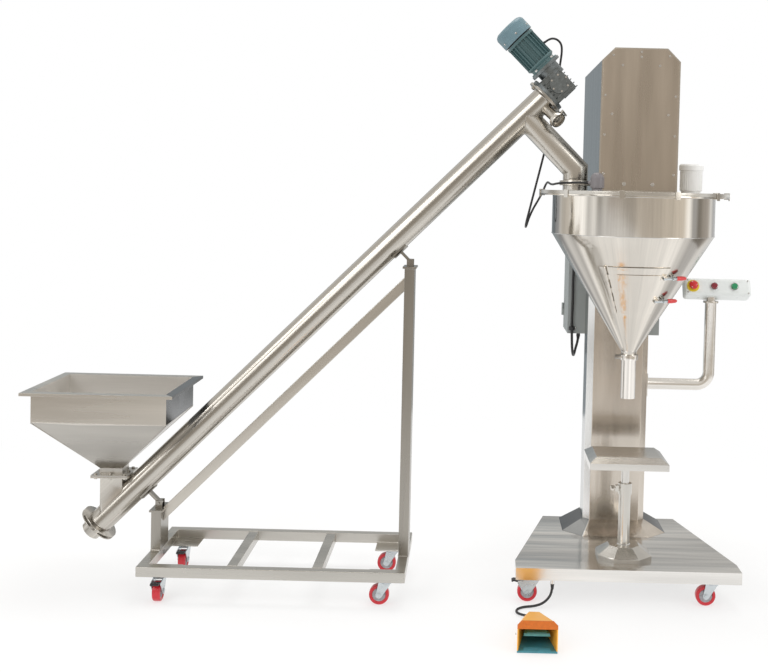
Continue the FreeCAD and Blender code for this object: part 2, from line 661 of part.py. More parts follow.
def level_sensor():
    x, y = LEVEL_SENSOR_AT
    outline = [(0, 0), (21, 0), (21, 10), (27.5, 12), (27.5, 52), (22, 64), (12, 71), (0, 73)]
    return turned(outline, V(x, y, HEAD_BOTTOM))


def vent_filter():
    x, y = VENT_FILTER_AT
    r, high = FILTER_DIAMETER / 2, FILTER_HEIGHT
    outline = [(0, 0), (r - 10, 0), (r - 10, 8), (r - 5, 10), (r - 5, high - 28), (r, high - 26),
               (r, high - 6), (r - 6, high), (0, high)]
    return turned(outline, V(x, y, HEAD_BOTTOM))


# ---------------------------------------------------------------- filler: nozzle and auger
NOZZLE_BORE = NOZZLE_DIAMETER - 2 * NOZZLE_WALL


def nozzle_tube():
    tube = pipe(V(0, 0, NOZZLE_BOTTOM), Z_AXIS, NOZZLE_DIAMETER, NOZZLE_BORE, NOZZLE_LENGTH)
    collar = pipe(V(0, 0, NOZZLE_TOP), Z_AXIS, 2 * CONE_TIP_RADIUS + 12, NOZZLE_BORE,
                  NOZZLE_CLAMP_HEIGHT)
    flange = pipe(V(0, 0, NOZZLE_TOP - 4), Z_AXIS, 2 * CONE_TIP_RADIUS, NOZZLE_BORE, 4)
    ear_x = -CONE_TIP_RADIUS - 5
    ears = [block(ear_x - 18, ear_x, s * 6 - 2.5, s * 6 + 2.5, NOZZLE_TOP + 2,
                  NOZZLE_TOP + NOZZLE_CLAMP_HEIGHT - 2) for s in (-1, 1)]
    return fused([tube, flange, collar] + ears)


def nozzle_wing_bolt():
    x = -CONE_TIP_RADIUS - 14
    z = NOZZLE_TOP + NOZZLE_CLAMP_HEIGHT / 2
    bolt = rod(V(x, -16, z), Y_AXIS, 6, 26)
    wings = block(x - 15, x + 15, -20, -15, z - 4, z + 4)
    return fused([bolt, wings])


def auger():
    bottom = NOZZLE_BOTTOM + 2
    shaft = rod(V(0, 0, bottom), Z_AXIS, AUGER_SHAFT, HEAD_BOTTOM + AUGER_SHAFT_RISE - bottom)
    blade = flight(AUGER_SHAFT / 2, NOZZLE_BORE / 2 - AUGER_CLEARANCE, AUGER_PITCH,
                   bottom, AUGER_FLIGHT_TOP, FLIGHT_THICK)
    return [shaft, blade]


def agitator():
    """Hub round the auger's shaft with two bars that follow the hopper's wall."""
    hub_bottom = CONE_TOP + 60
    hub = pipe(V(0, 0, hub_bottom), Z_AXIS, AGITATOR_HUB, AUGER_SHAFT + 2 * RUN_CLEARANCE,
               HEAD_BOTTOM + 30 - hub_bottom)
    bar = AGITATOR_BAR
    wide = 3 * bar
    shoulder = HOPPER_RADIUS - HOPPER_WALL - AGITATOR_GAP
    low_z = AUGER_FLIGHT_TOP - 60
    low_r = cone_radius(low_z) - HOPPER_WALL - 1.6 * AGITATOR_GAP
    bend_z = CONE_TOP
    arm_z = hub_bottom + 20
    parts = [hub]
    for side in (-1, 1):
        spoke = block(AGITATOR_HUB / 2 - 3, shoulder, -wide / 2, wide / 2, arm_z, arm_z + bar)
        upright = block(shoulder - bar, shoulder, -wide / 2, wide / 2, bend_z, arm_z + bar)
        edge = [V(low_r - bar, -wide / 2, low_z), V(low_r, -wide / 2, low_z),
                V(shoulder, -wide / 2, bend_z), V(shoulder - bar, -wide / 2, bend_z)]
        scraper = prism(edge, V(0, wide, 0))
        arm = fused([spoke, upright, scraper])
        arm.rotate(V(0, 0, 0), Z_AXIS, 0 if side > 0 else 180)
        parts.append(arm)
    return fused(parts)


# ---------------------------------------------------------------- filler: table and stand
def table_stand():
    foot_corner = STAND_FOOT * (1 - 1 / math.sqrt(2)) * 0.9
    top_corner = STAND_FOOT_TOP * (1 - 1 / math.sqrt(2)) * 0.9
    lip = prism(chamfered(STAND_FOOT, STAND_FOOT, foot_corner), V(0, 0, STAND_FOOT_LIP))
    slope = loft(chamfered(STAND_FOOT, STAND_FOOT, foot_corner, STAND_FOOT_LIP),
                 chamfered(STAND_FOOT_TOP, STAND_FOOT_TOP, top_corner, STAND_FOOT_HEIGHT))
    foot = moved(fused([lip, slope]), V(0, 0, PAN_TOP))
    tube_length = STAND_TOP - PAN_TOP
    tube = rod(V(0, 0, PAN_TOP), Z_AXIS, STAND_TUBE, tube_length)
    collar = rod(V(0, 0, STAND_TOP), Z_AXIS, COLLAR_DIAMETER, COLLAR_HEIGHT)
    ear = block(-COLLAR_DIAMETER / 2 - 12, 0, -9, 9, STAND_TOP + 10, STAND_TOP + 35)
    body = fused([foot, tube, collar, ear])
    inside = rod(V(0, 0, PAN_TOP + 20), Z_AXIS, STAND_TUBE - 2 * STAND_WALL, tube_length - 20)
    slide_bore = rod(V(0, 0, STAND_TOP - 1), Z_AXIS, TABLE_ROD + 2 * RUN_CLEARANCE,
                     COLLAR_HEIGHT + 2)
    knob_bore = rod(V(-COLLAR_DIAMETER, 0, KNOB_Z), X_AXIS, KNOB_STEM + 2 * RUN_CLEARANCE,
                    COLLAR_DIAMETER)
    return body.cut(inside).cut(slide_bore).cut(knob_bore)


KNOB_Z = STAND_TOP + COLLAR_HEIGHT / 2
KNOB_STEM = 9.0


def stand_clamp_knob():
    tip = -TABLE_ROD / 2 - 2 * RUN_CLEARANCE
    stem_length = COLLAR_DIAMETER / 2 + 22 + tip
    stem = rod(V(tip, 0, KNOB_Z), -X_AXIS, KNOB_STEM, stem_length)
    hub_x = tip - stem_length
    hub = rod(V(hub_x + 6, 0, KNOB_Z), -X_AXIS, 20, 14)
    wings = block(hub_x - 8, hub_x + 2, -26, 26, KNOB_Z - 4, KNOB_Z + 4)
    return fused([stem, hub, wings])


def product_table():
    bottom = TABLE_TOP - TABLE_BEVEL_DROP - TABLE_LIP

    def body(inset, lift):
        wide, deep = TABLE_WIDTH - 2 * inset, TABLE_DEPTH - 2 * inset
        knee = TABLE_TOP - TABLE_BEVEL_DROP - lift
        rim = rectangle(wide, deep, knee)
        flat = rectangle(wide - 2 * TABLE_BEVEL, deep - 2 * TABLE_BEVEL, TABLE_TOP - lift)
        return loft(rim, flat).fuse(prism(rectangle(wide, deep, bottom), V(0, 0, knee - bottom)))

    tray = body(0, 0).cut(body(TABLE_SHEET, TABLE_SHEET))
    along, across = TABLE_PLATE[0] / 2, TABLE_PLATE[1] / 2
    plate = block(-along, along, -across, across, TABLE_TOP - TABLE_SHEET - 8,
                  TABLE_TOP - TABLE_SHEET)
    rod_bottom = STAND_TOP + COLLAR_HEIGHT - TABLE_ROD_INSERT
    post = rod(V(0, 0, rod_bottom), Z_AXIS, TABLE_ROD, TABLE_TOP - TABLE_SHEET - rod_bottom)
    return fused([tray.removeSplitter(), plate, post])


# ---------------------------------------------------------------- filler: control arm
def control_arm():
    """Tube out of the column's side and up to the swivel plate of the button box."""
    start = COLUMN_WIDTH / 2
    bend_x = ARM_REACH - ARM_BEND
    bend_z = ARM_Z + ARM_BEND
    level = rod(V(start, ARM_Y, ARM_Z), X_AXIS, ARM_DIAMETER, bend_x - start)
    section = Part.Face(Part.Wire([Part.makeCircle(ARM_DIAMETER / 2, V(bend_x, ARM_Y, ARM_Z),
                                                   X_AXIS)]))
    elbow = section.revolve(V(bend_x, ARM_Y, bend_z), -Y_AXIS, 90)
    upright = rod(V(ARM_REACH, ARM_Y, bend_z), Z_AXIS, ARM_DIAMETER, ARM_TOP - bend_z)
    half = ARM_FLANGE / 2
    flange = block(start, start + 6, ARM_Y - half, ARM_Y + half, ARM_Z - half, ARM_Z + half)
    cap = rod(V(ARM_REACH, ARM_Y, ARM_TOP), Z_AXIS, ARM_CAP, 8)
    return fused([level, elbow, upright, flange, cap])


BOX_NORMAL = V(0, -math.cos(math.radians(BOX_TILT)), math.sin(math.radians(BOX_TILT)))
BOX_UP = V(0, math.sin(math.radians(BOX_TILT)), math.cos(math.radians(BOX_TILT)))


def box_face(offset, out=0.0):
    """Point on the button box's face, 'offset' from its middle along X."""
    return BOX_CENTRE + V(offset, 0, 0) + BOX_NORMAL * (BOX_DEPTH / 2 + out)


def button_box():
    body = Part.makeBox(BOX_WIDTH, BOX_HEIGHT, BOX_DEPTH,
                        V(-BOX_WIDTH / 2, -BOX_HEIGHT / 2, -BOX_DEPTH / 2))
    front = [e for e in body.Edges
             if abs(e.CenterOfMass.z - BOX_DEPTH / 2) < 1e-6 or abs(e.CenterOfMass.z) < 1e-6]
    body = body.makeFillet(BOX_ROUND, front)
    body = moved(body, BOX_CENTRE, BOX_NORMAL, BOX_UP)
    neck_bottom = ARM_TOP + 8 + RUN_CLEARANCE
    neck = rod(V(ARM_REACH, ARM_Y, neck_bottom), Z_AXIS, 40, BOX_CENTRE.z - neck_bottom)
    body = fused([body, neck])
    for offset in (ESTOP_OFFSET, STOP_OFFSET, START_OFFSET):
        body = body.cut(rod(box_face(offset, 1), -BOX_NORMAL, BUTTON_STEM + 2 * RUN_CLEARANCE,
                            31))
    rings = [pipe(box_face(ESTOP_OFFSET), BOX_NORMAL, 55, 30, 4)]
    rings += [pipe(box_face(offset), BOX_NORMAL, 36, 31, 7)
              for offset in (STOP_OFFSET, START_OFFSET)]
    return [body] + rings


def estop_button():
    stem = rod(box_face(ESTOP_OFFSET, -22), BOX_NORMAL, BUTTON_STEM, 34)
    cap = turned([(0, 0), (14, 0), (20, 4), (20, 9), (15, 14), (0, 16)],
                 box_face(ESTOP_OFFSET, 10), BOX_NORMAL)
    return fused([stem, cap])


def push_button(offset):
    stem = rod(box_face(offset, -22), BOX_NORMAL, BUTTON_STEM, 24)
    cap = turned([(0, 0), (15.2, 0), (15.2, 6), (13.5, 8), (0, 9)],
                 box_face(offset, BUTTON_TRAVEL + 0.5), BOX_NORMAL)
    return fused([stem, cap])


# ---------------------------------------------------------------- filler: cabinet
CABINET_HINGE_X = -CABINET_WIDTH / 2 - CABINET_HINGE / 2 - 1
CABINET_HINGE_Z = (CABINET_BOTTOM + 90, CABINET_BOTTOM + CABINET_HEIGHT - 90)


LEAD_CLIP = (27.0, 13.4, 14.0)                     # outer and inner diameter, height
LEAD_CLIP_AT = V(-191, CABINET_FRONT_Y - 10.5, CABINET_BOTTOM + 25)


def lead_clip():
    """Cushioned clip round the drive's lead, fixed to the cabinet's front."""
    way = V(2, 3, -70).normalize()
    outer, inner, height = LEAD_CLIP
    ring = pipe(LEAD_CLIP_AT - way * (height / 2), way, outer, inner, height)
    return ring.common(block(-230, -150, CABINET_FRONT_Y - 40, CABINET_FRONT_Y + 0.5,
                             CABINET_BOTTOM, CABINET_BOTTOM + 50))


def cabinet_body():
    half = CABINET_WIDTH / 2
    top = CABINET_BOTTOM + CABINET_HEIGHT
    outer = block(-half, half, CABINET_FRONT_Y, CABINET_BODY_REAR_Y, CABINET_BOTTOM, top)
    inner = block(-half + SHEET, half - SHEET, CABINET_FRONT_Y + SHEET, CABINET_BODY_REAR_Y + 1,
                  CABINET_BOTTOM + SHEET, top - SHEET)
    shell = outer.cut(inner)
    reach = CABINET_RAIL / 2
    rails = [block(-reach, reach, COLUMN_REAR_Y, CABINET_FRONT_Y, z - 20, z + 20)
             for z in (CABINET_BOTTOM + 60, top - 60)]
    lip = block(-half + SHEET, half - SHEET, CABINET_BODY_REAR_Y - 16, CABINET_BODY_REAR_Y,
                CABINET_BOTTOM + SHEET, top - SHEET)
    lip = lip.cut(block(-half + 20, half - 20, CABINET_FRONT_Y, CABINET_BODY_REAR_Y + 1,
                        CABINET_BOTTOM + 20, top - 20))
    hinges = []
    for z in CABINET_HINGE_Z:
        hinges.append(rod(V(CABINET_HINGE_X, CABINET_BODY_REAR_Y, z - 30), Z_AXIS,
                          CABINET_HINGE, 30))
        hinges.append(rod(V(CABINET_HINGE_X, CABINET_BODY_REAR_Y, z - 5), Z_AXIS, 5, 33))
        hinges.append(block(CABINET_HINGE_X, -half, CABINET_BODY_REAR_Y - 9,
                            CABINET_BODY_REAR_Y - 3, z - 30, z))
    return fused([shell, lip, lead_clip()] + rails + hinges)


def cabinet_door():
    half = CABINET_WIDTH / 2
    top = CABINET_BOTTOM + CABINET_HEIGHT
    front = CABINET_BODY_REAR_Y + 2 * RUN_CLEARANCE
    rear = CABINET_FRONT_Y + CABINET_DEPTH
    outer = block(-half, half, front, rear, CABINET_BOTTOM, top)
    inner = block(-half + SHEET, half - SHEET, front - 1, rear - SHEET, CABINET_BOTTOM + SHEET,
                  top - SHEET)
    shell = outer.cut(inner)
    lock_x = half - 24
    locks = [rod(V(lock_x, rear - SHEET, z), Y_AXIS, 26, SHEET + 4)
             for z in (CABINET_BOTTOM + CABINET_HEIGHT / 4, top - CABINET_HEIGHT / 4)]
    hinges = []
    for z in CABINET_HINGE_Z:
        barrel = pipe(V(CABINET_HINGE_X, CABINET_BODY_REAR_Y, z + RUN_CLEARANCE), Z_AXIS,
                      CABINET_HINGE, 5 + 2 * RUN_CLEARANCE, 28)
        strap = block(CABINET_HINGE_X, -half, CABINET_BODY_REAR_Y + 2, CABINET_BODY_REAR_Y + 5,
                      z + RUN_CLEARANCE, z + 28)
        strap = strap.cut(rod(V(CABINET_HINGE_X, CABINET_BODY_REAR_Y, z - 1), Z_AXIS,
                              CABINET_HINGE - 1, 40))
        hinges += [barrel, strap]
    return fused([shell] + locks + hinges)


# ---------------------------------------------------------------- foot pedal
PEDAL_REAR_Y = PEDAL_FRONT_Y + PEDAL_LENGTH
TREADLE_PIVOT = V(PEDAL_X, PEDAL_REAR_Y - 34, 22)
TREADLE_PIN = 8.0


def pedal_section(y, width, height, inset):
    """Arch across the pedal: upright sides with cut shoulders."""
    w, shoulder = width / 2 - inset, 16
    top = height - inset
    return [V(-w, y, PEDAL_PLATE), V(w, y, PEDAL_PLATE), V(w, y, top - shoulder),
            V(w - shoulder, y, top), V(-w + shoulder, y, top), V(-w, y, top - shoulder)]


def pedal_housing():
    tail = PEDAL_REAR_Y
    outer = loft(pedal_section(PEDAL_FRONT_Y, PEDAL_WIDTH, PEDAL_HEIGHT, 0),
                 pedal_section(tail, PEDAL_TAIL_WIDTH, PEDAL_TAIL_HEIGHT, 0))
    inner = loft(pedal_section(PEDAL_FRONT_Y - 1, PEDAL_WIDTH, PEDAL_HEIGHT, PEDAL_WALL),
                 pedal_section(tail - PEDAL_WALL, PEDAL_TAIL_WIDTH, PEDAL_TAIL_HEIGHT, PEDAL_WALL))
    brow = prism([V(-PEDAL_WIDTH / 2, PEDAL_FRONT_Y, PEDAL_HEIGHT - 30),
                  V(PEDAL_WIDTH / 2, PEDAL_FRONT_Y, PEDAL_HEIGHT - 30),
                  V(PEDAL_WIDTH / 2, PEDAL_FRONT_Y, PEDAL_HEIGHT - 16),
                  V(PEDAL_WIDTH / 2 - 16, PEDAL_FRONT_Y, PEDAL_HEIGHT),
                  V(-PEDAL_WIDTH / 2 + 16, PEDAL_FRONT_Y, PEDAL_HEIGHT),
                  V(-PEDAL_WIDTH / 2, PEDAL_FRONT_Y, PEDAL_HEIGHT - 16)], V(0, 5, 0))
    hood = fused([outer.cut(inner), brow])
    hood.translate(V(PEDAL_X, 0, 0))
    reach = V(TREADLE_PIN_LENGTH / 2, 0, 0)
    pin = rod(TREADLE_PIVOT - reach, X_AXIS, TREADLE_PIN, TREADLE_PIN_LENGTH)
    return hood.fuse(pin.common(moved(outer, V(PEDAL_X, 0, 0)))).removeSplitter()


def pedal_base():
    half = PEDAL_WIDTH / 2
    tail_half = PEDAL_TAIL_WIDTH / 2
    plate = prism([V(-half, PEDAL_FRONT_Y, 0), V(half, PEDAL_FRONT_Y, 0),
                   V(tail_half, PEDAL_REAR_Y, 0), V(-tail_half, PEDAL_REAR_Y, 0)],
                  V(0, 0, PEDAL_PLATE))
    ribs = [block(-half + 24, half - 24, PEDAL_FRONT_Y + 5 + 9 * i, PEDAL_FRONT_Y + 9 + 9 * i,
                  PEDAL_PLATE, PEDAL_PLATE + 3) for i in range(3)]
    base = fused([plate] + ribs)
    base.translate(V(PEDAL_X, 0, 0))
    return base


def pedal_treadle():
    front = PEDAL_FRONT_Y + 40
    y0, z0 = TREADLE_PIVOT.y, TREADLE_PIVOT.z
    front_z = 52.0
    side = [V(-48, y0, z0 - 5), V(-48, y0, z0 + 9), V(-48, front, front_z + 5),
            V(-48, front - 8, front_z - 2), V(-48, front, front_z - 6)]
    plate = prism(side, V(96, 0, 0))
    high = PEDAL_HEIGHT
    narrow = loft([V(-28, y0 + 1, -20), V(28, y0 + 1, -20), V(28, y0 + 1, high),
                   V(-28, y0 + 1, high)],
                  [V(-48, front - 9, -20), V(48, front - 9, -20), V(48, front - 9, high),
                   V(-48, front - 9, high)])
    plate = plate.common(narrow)
    barrel = rod(V(-26, y0, z0), X_AXIS, 18, 52)
    treads = [block(-36, 36, front + 6 + 14 * i, front + 11 + 14 * i, front_z - 6 * i,
                    front_z + 6 - 2.6 * i) for i in range(4)]
    body = fused([plate, barrel] + treads)
    body = body.cut(rod(V(-PEDAL_WIDTH / 2, y0, z0), X_AXIS, TREADLE_PIN + 2 * RUN_CLEARANCE,
                        PEDAL_WIDTH))
    body.translate(V(PEDAL_X, 0, 0))
    return body


# ---------------------------------------------------------------- feeder: screw, tube, drive
def feeder_point(along, across=0.0, y=0.0):
    """Point in the feeder's frame: along the tube from its lower flange, and across it."""
    return TUBE_START + TUBE_DIR * along + MOTOR_DIR * across + V(0, y, 0)


def feed_bore():
    return rod(TUBE_START, TUBE_DIR, FEED_TUBE - 2 * FEED_WALL, FEED_LENGTH)


def chute_path(diameter):
    """Chute along its slope, then the upright spout, as one mitred solid."""
    elbow = V(SPOUT_X, 0, ELBOW_Z)
    down = V(1, 0, -1).normalize()
    side = 4 * diameter
    beyond = Part.makeBox(side, side, side, V(-side / 2, -side / 2, 0))
    beyond = moved(beyond, elbow, (V(0, 0, -1) + down).normalize())
    slope = rod(BRANCH, down, diameter, CHUTE_RUN + diameter).cut(beyond)
    spout_bottom = HEAD_BOTTOM + SPOUT_STUB
    upright = rod(V(SPOUT_X, 0, spout_bottom), Z_AXIS, diameter,
                  ELBOW_Z - spout_bottom + diameter).common(beyond)
    return slope.fuse(upright)


def inlet_prism(side, top):
    return block(FEED_HOPPER_X - side / 2, FEED_HOPPER_X + side / 2, -side / 2, side / 2,
                 tube_axis_z(FEED_HOPPER_X), top)


def feeder_tube():
    tube = rod(TUBE_START, TUBE_DIR, FEED_TUBE, FEED_LENGTH)
    ends = [rod(feeder_point(0), TUBE_DIR, FEED_FLANGE, FEED_FLANGE_THICK),
            rod(feeder_point(FEED_LENGTH - FEED_FLANGE_THICK), TUBE_DIR, FEED_FLANGE,
                FEED_FLANGE_THICK)]
    body = fused([tube] + ends).cut(feed_bore())
    body = fused([body, inlet_duct()])
    inlet = inlet_prism(FEED_THROAT - 2 - 2 * FEED_WALL, THROAT_BOTTOM + 1)
    return body.cut(inlet).cut(chute_path(FEED_TUBE - 2 * FEED_WALL))


def tail_bearing():
    plate = rod(feeder_point(-8), TUBE_DIR, FEED_FLANGE, 8)
    housing = turned([(0, 0), (TAIL_BEARING / 2 - 5, 0), (TAIL_BEARING / 2, 5),
                      (TAIL_BEARING / 2, TAIL_LENGTH), (0, TAIL_LENGTH)],
                     feeder_point(-8 - TAIL_LENGTH), TUBE_DIR)
    bore = rod(feeder_point(-TAIL_LENGTH), TUBE_DIR, FEED_SHAFT + 2 * RUN_CLEARANCE,
               TAIL_LENGTH + 1)
    return fused([plate, housing]).cut(bore)


def inspection_port():
    """Stub welded beside the upper flange, its cup closed by a clamp ring with a toggle."""
    way = (MOTOR_DIR * -0.8 - Y_AXIS * 0.6).normalize()
    base = feeder_point(FEED_LENGTH - PORT_FROM_END)
    stub = rod(base, way, PORT_STUB, PORT_REACH).cut(rod(TUBE_START, TUBE_DIR, FEED_TUBE,
                                                         FEED_LENGTH))
    r, high = PORT_RING / 2, PORT_RING_HEIGHT
    cup = turned([(0, 0), (r, 0), (r, high), (r - 6, high), (r - 6, 6), (r - 15, 6),
                  (r - 18, high - 5), (0, high - 2)])
    toggle = block(-20, 20, r + 2, r + 9, 5, 13).fuse(block(-20, -10, r - 3, r + 9, 5, 13))
    return fused([stub, moved(cup.fuse(toggle), base + way * PORT_REACH, way, TUBE_DIR)])


def flange_bolts():
    """Hexagon heads round both of the tube's end flanges."""
    bolts = []
    radius = (FEED_FLANGE + FEED_TUBE) / 4
    for along, way in ((-8, -TUBE_DIR), (FEED_LENGTH - FEED_FLANGE_THICK, -TUBE_DIR)):
        for i in range(8):
            turn = math.radians(22.5 + 45 * i)
            at = feeder_point(along, radius * math.cos(turn), radius * math.sin(turn))
            bolts.append(hexagon(at, way, 14, 6))
    return bolts


def feeder_screw():
    length = FEED_LENGTH - BRANCH_TO_END + 60
    shaft = rod(V(0, 0, -TAIL_LENGTH + 4), Z_AXIS, FEED_SHAFT, FEED_LENGTH + TAIL_LENGTH + 40)
    blade = flight(FEED_SHAFT / 2, FEED_TUBE / 2 - FEED_WALL - FEED_FLIGHT_CLEARANCE,
                   FEED_PITCH, 20, length - 60, FLIGHT_THICK)
    return [moved(shape, TUBE_START, TUBE_DIR, Y_AXIS) for shape in (shaft, blade)]


def gearbox_point(along, across, y=0.0):
    return MOTOR_CENTRE + TUBE_DIR * along + MOTOR_DIR * across + V(0, y, 0)


def feeder_gearbox():
    """Worm gearbox: ribbed cast body between the tube's flange and the motor."""
    down, up = MOTOR_AXIS_OFFSET - 14, GEARBOX_REACH
    across, deep = GEARBOX
    core = Part.makeBox(deep - 14, down + up - 8, across - 8,
                        V(-(deep - 14) / 2, -down, -(across - 8) / 2))
    ribs = []
    for i in range(GEARBOX_RIBS):
        z = -across / 2 + i * (across - 4) / (GEARBOX_RIBS - 1)
        rib = prism(chamfered(deep, down + up, 14, z), V(0, 0, 4))
        rib.translate(V(0, (up - down) / 2, 0))
        ribs.append(rib)
    body = fused([core] + ribs)
    body = moved(body, MOTOR_CENTRE, MOTOR_DIR, TUBE_DIR)
    output = rod(TUBE_END, TUBE_DIR, FEED_FLANGE - 12, 16)
    worm = rod(gearbox_point(0, 30), MOTOR_DIR, 96, MOTOR_START - 30)
    input_flange = rod(gearbox_point(0, MOTOR_START - 12), MOTOR_DIR, MOTOR_DIAMETER + 8, 12)
    cover = rod(gearbox_point(-8, 0, -deep / 2 - 5), Y_AXIS, 82, deep + 10)
    end_cap = rod(gearbox_point(0, 0), -MOTOR_DIR, 60, across / 2 + 3)
    body = fused([body, output, worm, input_flange, cover, end_cap])
    return body.cut(rod(TUBE_END - TUBE_DIR, TUBE_DIR, FEED_SHAFT + 2 * RUN_CLEARANCE, 50))


def feeder_motor():
    """Finned motor: front bell, ribbed barrel and rear shield."""
    start = MOTOR_START
    barrel = rod(V(0, 0, 0), Z_AXIS, MOTOR_DIAMETER - 18, MOTOR_BODY)
    r = MOTOR_DIAMETER / 2
    front = turned([(0, 0), (r, 0), (r, 5), (r - 12, 7), (r - 12, 12), (r, MOTOR_BELL - 6),
                    (r, MOTOR_BELL), (0, MOTOR_BELL)])
    rear = rod(V(0, 0, MOTOR_BODY - 12), Z_AXIS, MOTOR_DIAMETER, 12)
    neck = rod(V(0, 0, MOTOR_BODY), Z_AXIS, MOTOR_DIAMETER - 24, COWL_GAP)
    fins = []
    for i in range(MOTOR_FINS):
        fin = block(r - 12, r - 1, -1.5, 1.5, MOTOR_BELL, MOTOR_BODY - 12)
        fin.rotate(V(0, 0, 0), Z_AXIS, 360 / MOTOR_FINS * i)
        fins.append(fin)
    body = moved(fused([barrel, front, rear, neck] + fins), gearbox_point(0, start), MOTOR_DIR,
                 Y_AXIS)
    return body


def motor_terminal_box():
    box = Part.makeBox(64, 30, 88, V(-32, 0, 0))
    lid = Part.makeBox(68, 10, 92, V(-34, 30, -2))
    seat = Part.makeBox(50, 14, 76, V(-25, -13, 6))
    body = moved(fused([box, lid, seat]),
                 gearbox_point(0, MOTOR_START + 32, MOTOR_DIAMETER / 2 + 2), MOTOR_DIR, Y_AXIS)
    gland = rod(V(*MOTOR_GLAND_BASE), TUBE_DIR, 20, GLAND_LENGTH)
    return fused([body, gland])


GLAND_LENGTH = 26.0
MOTOR_GLAND_BASE = tuple(gearbox_point(32, MOTOR_START + 76, MOTOR_DIAMETER / 2 + 20))
MOTOR_GLAND_TIP = V(*MOTOR_GLAND_BASE) + TUBE_DIR * (GLAND_LENGTH + 0.4)


def motor_fan_cowl():
    r, length = COWL_DIAMETER / 2, COWL_LENGTH
    outline = [(0, 0), (r, 0), (r, length - 16), (r - 5, length - 6), (r - 15, length), (0, length)]
    return turned(outline, gearbox_point(0, MOTOR_START + MOTOR_BODY + COWL_GAP), MOTOR_DIR)


def discharge_chute():
    outer = chute_path(FEED_TUBE).cut(chute_path(FEED_TUBE - 2 * FEED_WALL))
    return outer.cut(rod(TUBE_START, TUBE_DIR, FEED_TUBE, FEED_LENGTH))


def spout_clamp():
    middle = HEAD_BOTTOM + SPOUT_STUB
    ring = pipe(V(SPOUT_X, 0, middle - SPOUT_RING / 2), Z_AXIS, FEED_TUBE + 26, FEED_TUBE,
                SPOUT_RING)
    front = -(FEED_TUBE + 26) / 2
    lever = block(SPOUT_X - 8, SPOUT_X + 66, front - 8, front + 4, middle - 6, middle + 6)
    return fused([ring, lever])


# ---------------------------------------------------------------- feeder: hopper and inlet
def feed_hopper():
    body_bottom = FEED_HOPPER_TOP - FEED_BODY_HEIGHT
    wall = FEED_HOPPER_WALL

    def body(inset, top, bottom):
        wide, deep = FEED_BODY_WIDTH - 2 * inset, FEED_BODY_DEPTH - 2 * inset
        throat = FEED_THROAT - 2 * inset
        box = prism(rectangle(wide, deep, body_bottom), V(0, 0, top - body_bottom))
        funnel = loft(rectangle(throat, throat, THROAT_TOP), rectangle(wide, deep, body_bottom))
        neck = prism(rectangle(throat, throat, bottom), V(0, 0, THROAT_TOP - bottom))
        return fused([box, funnel, neck])

    outer = body(0, FEED_HOPPER_TOP, THROAT_BOTTOM)
    rim = prism(rectangle(FEED_RIM_WIDTH, FEED_RIM_DEPTH, FEED_HOPPER_TOP - wall), V(0, 0, wall))
    hem = prism(rectangle(FEED_RIM_WIDTH, FEED_RIM_DEPTH, FEED_HOPPER_TOP - 12), V(0, 0, 12))
    hem = hem.cut(prism(rectangle(FEED_RIM_WIDTH - 2 * wall, FEED_RIM_DEPTH - 2 * wall,
                                  FEED_HOPPER_TOP - 13), V(0, 0, 14)))
    plate = prism(rectangle(INLET_PLATE, INLET_PLATE, THROAT_BOTTOM), V(0, 0, INLET_PLATE_THICK))
    shell = fused([outer, rim, hem, plate]).cut(body(wall, FEED_HOPPER_TOP + 1, THROAT_BOTTOM - 1))
    shell.translate(V(FEED_HOPPER_X, 0, 0))
    return shell


def inlet_duct():
    top = THROAT_BOTTOM
    outer = inlet_prism(FEED_THROAT - 2, top)
    plate = prism(rectangle(INLET_PLATE, INLET_PLATE, top - INLET_PLATE_THICK),
                  V(0, 0, INLET_PLATE_THICK))
    plate.translate(V(FEED_HOPPER_X, 0, 0))
    return fused([outer, plate]).cut(feed_bore())


def inlet_bolts():
    reach = INLET_PLATE / 2 - 16
    bolts = []
    for x, y in ((-1, -1), (0, -1), (1, -1), (1, 0), (1, 1), (0, 1), (-1, 1), (-1, 0)):
        at = V(FEED_HOPPER_X + x * reach, y * reach, 0)
        bolts.append(hexagon(at + V(0, 0, THROAT_BOTTOM + INLET_PLATE_THICK), Z_AXIS, 14, 6))
        bolts.append(hexagon(at + V(0, 0, THROAT_BOTTOM - INLET_PLATE_THICK), -Z_AXIS, 14, 6))
    return bolts


# ---------------------------------------------------------------- feeder: trolley
def trolley_base():
    half, t = TROLLEY_DEPTH / 2, TROLLEY_TUBE
    low, high = CASTER_HEIGHT, TROLLEY_TOP
    bars = [block(TROLLEY_LEFT, TROLLEY_RIGHT, s * (half - t / 2) - t / 2,
                  s * (half - t / 2) + t / 2, low, high) for s in (-1, 1)]
    for x in (TROLLEY_LEFT + t / 2, TROLLEY_CROSS[0], TROLLEY_CROSS[1], TROLLEY_RIGHT - t / 2):
        bars.append(block(x - t / 2, x + t / 2, -half + t, half - t, low, high))
    for x in (TROLLEY_LEFT, TROLLEY_RIGHT - GUSSET_PLATE):
        for y in (-half, half - GUSSET_PLATE):
            bars.append(block(x, x + GUSSET_PLATE, y, y + GUSSET_PLATE, low, low + GUSSET_THICK))
    return fused(bars)


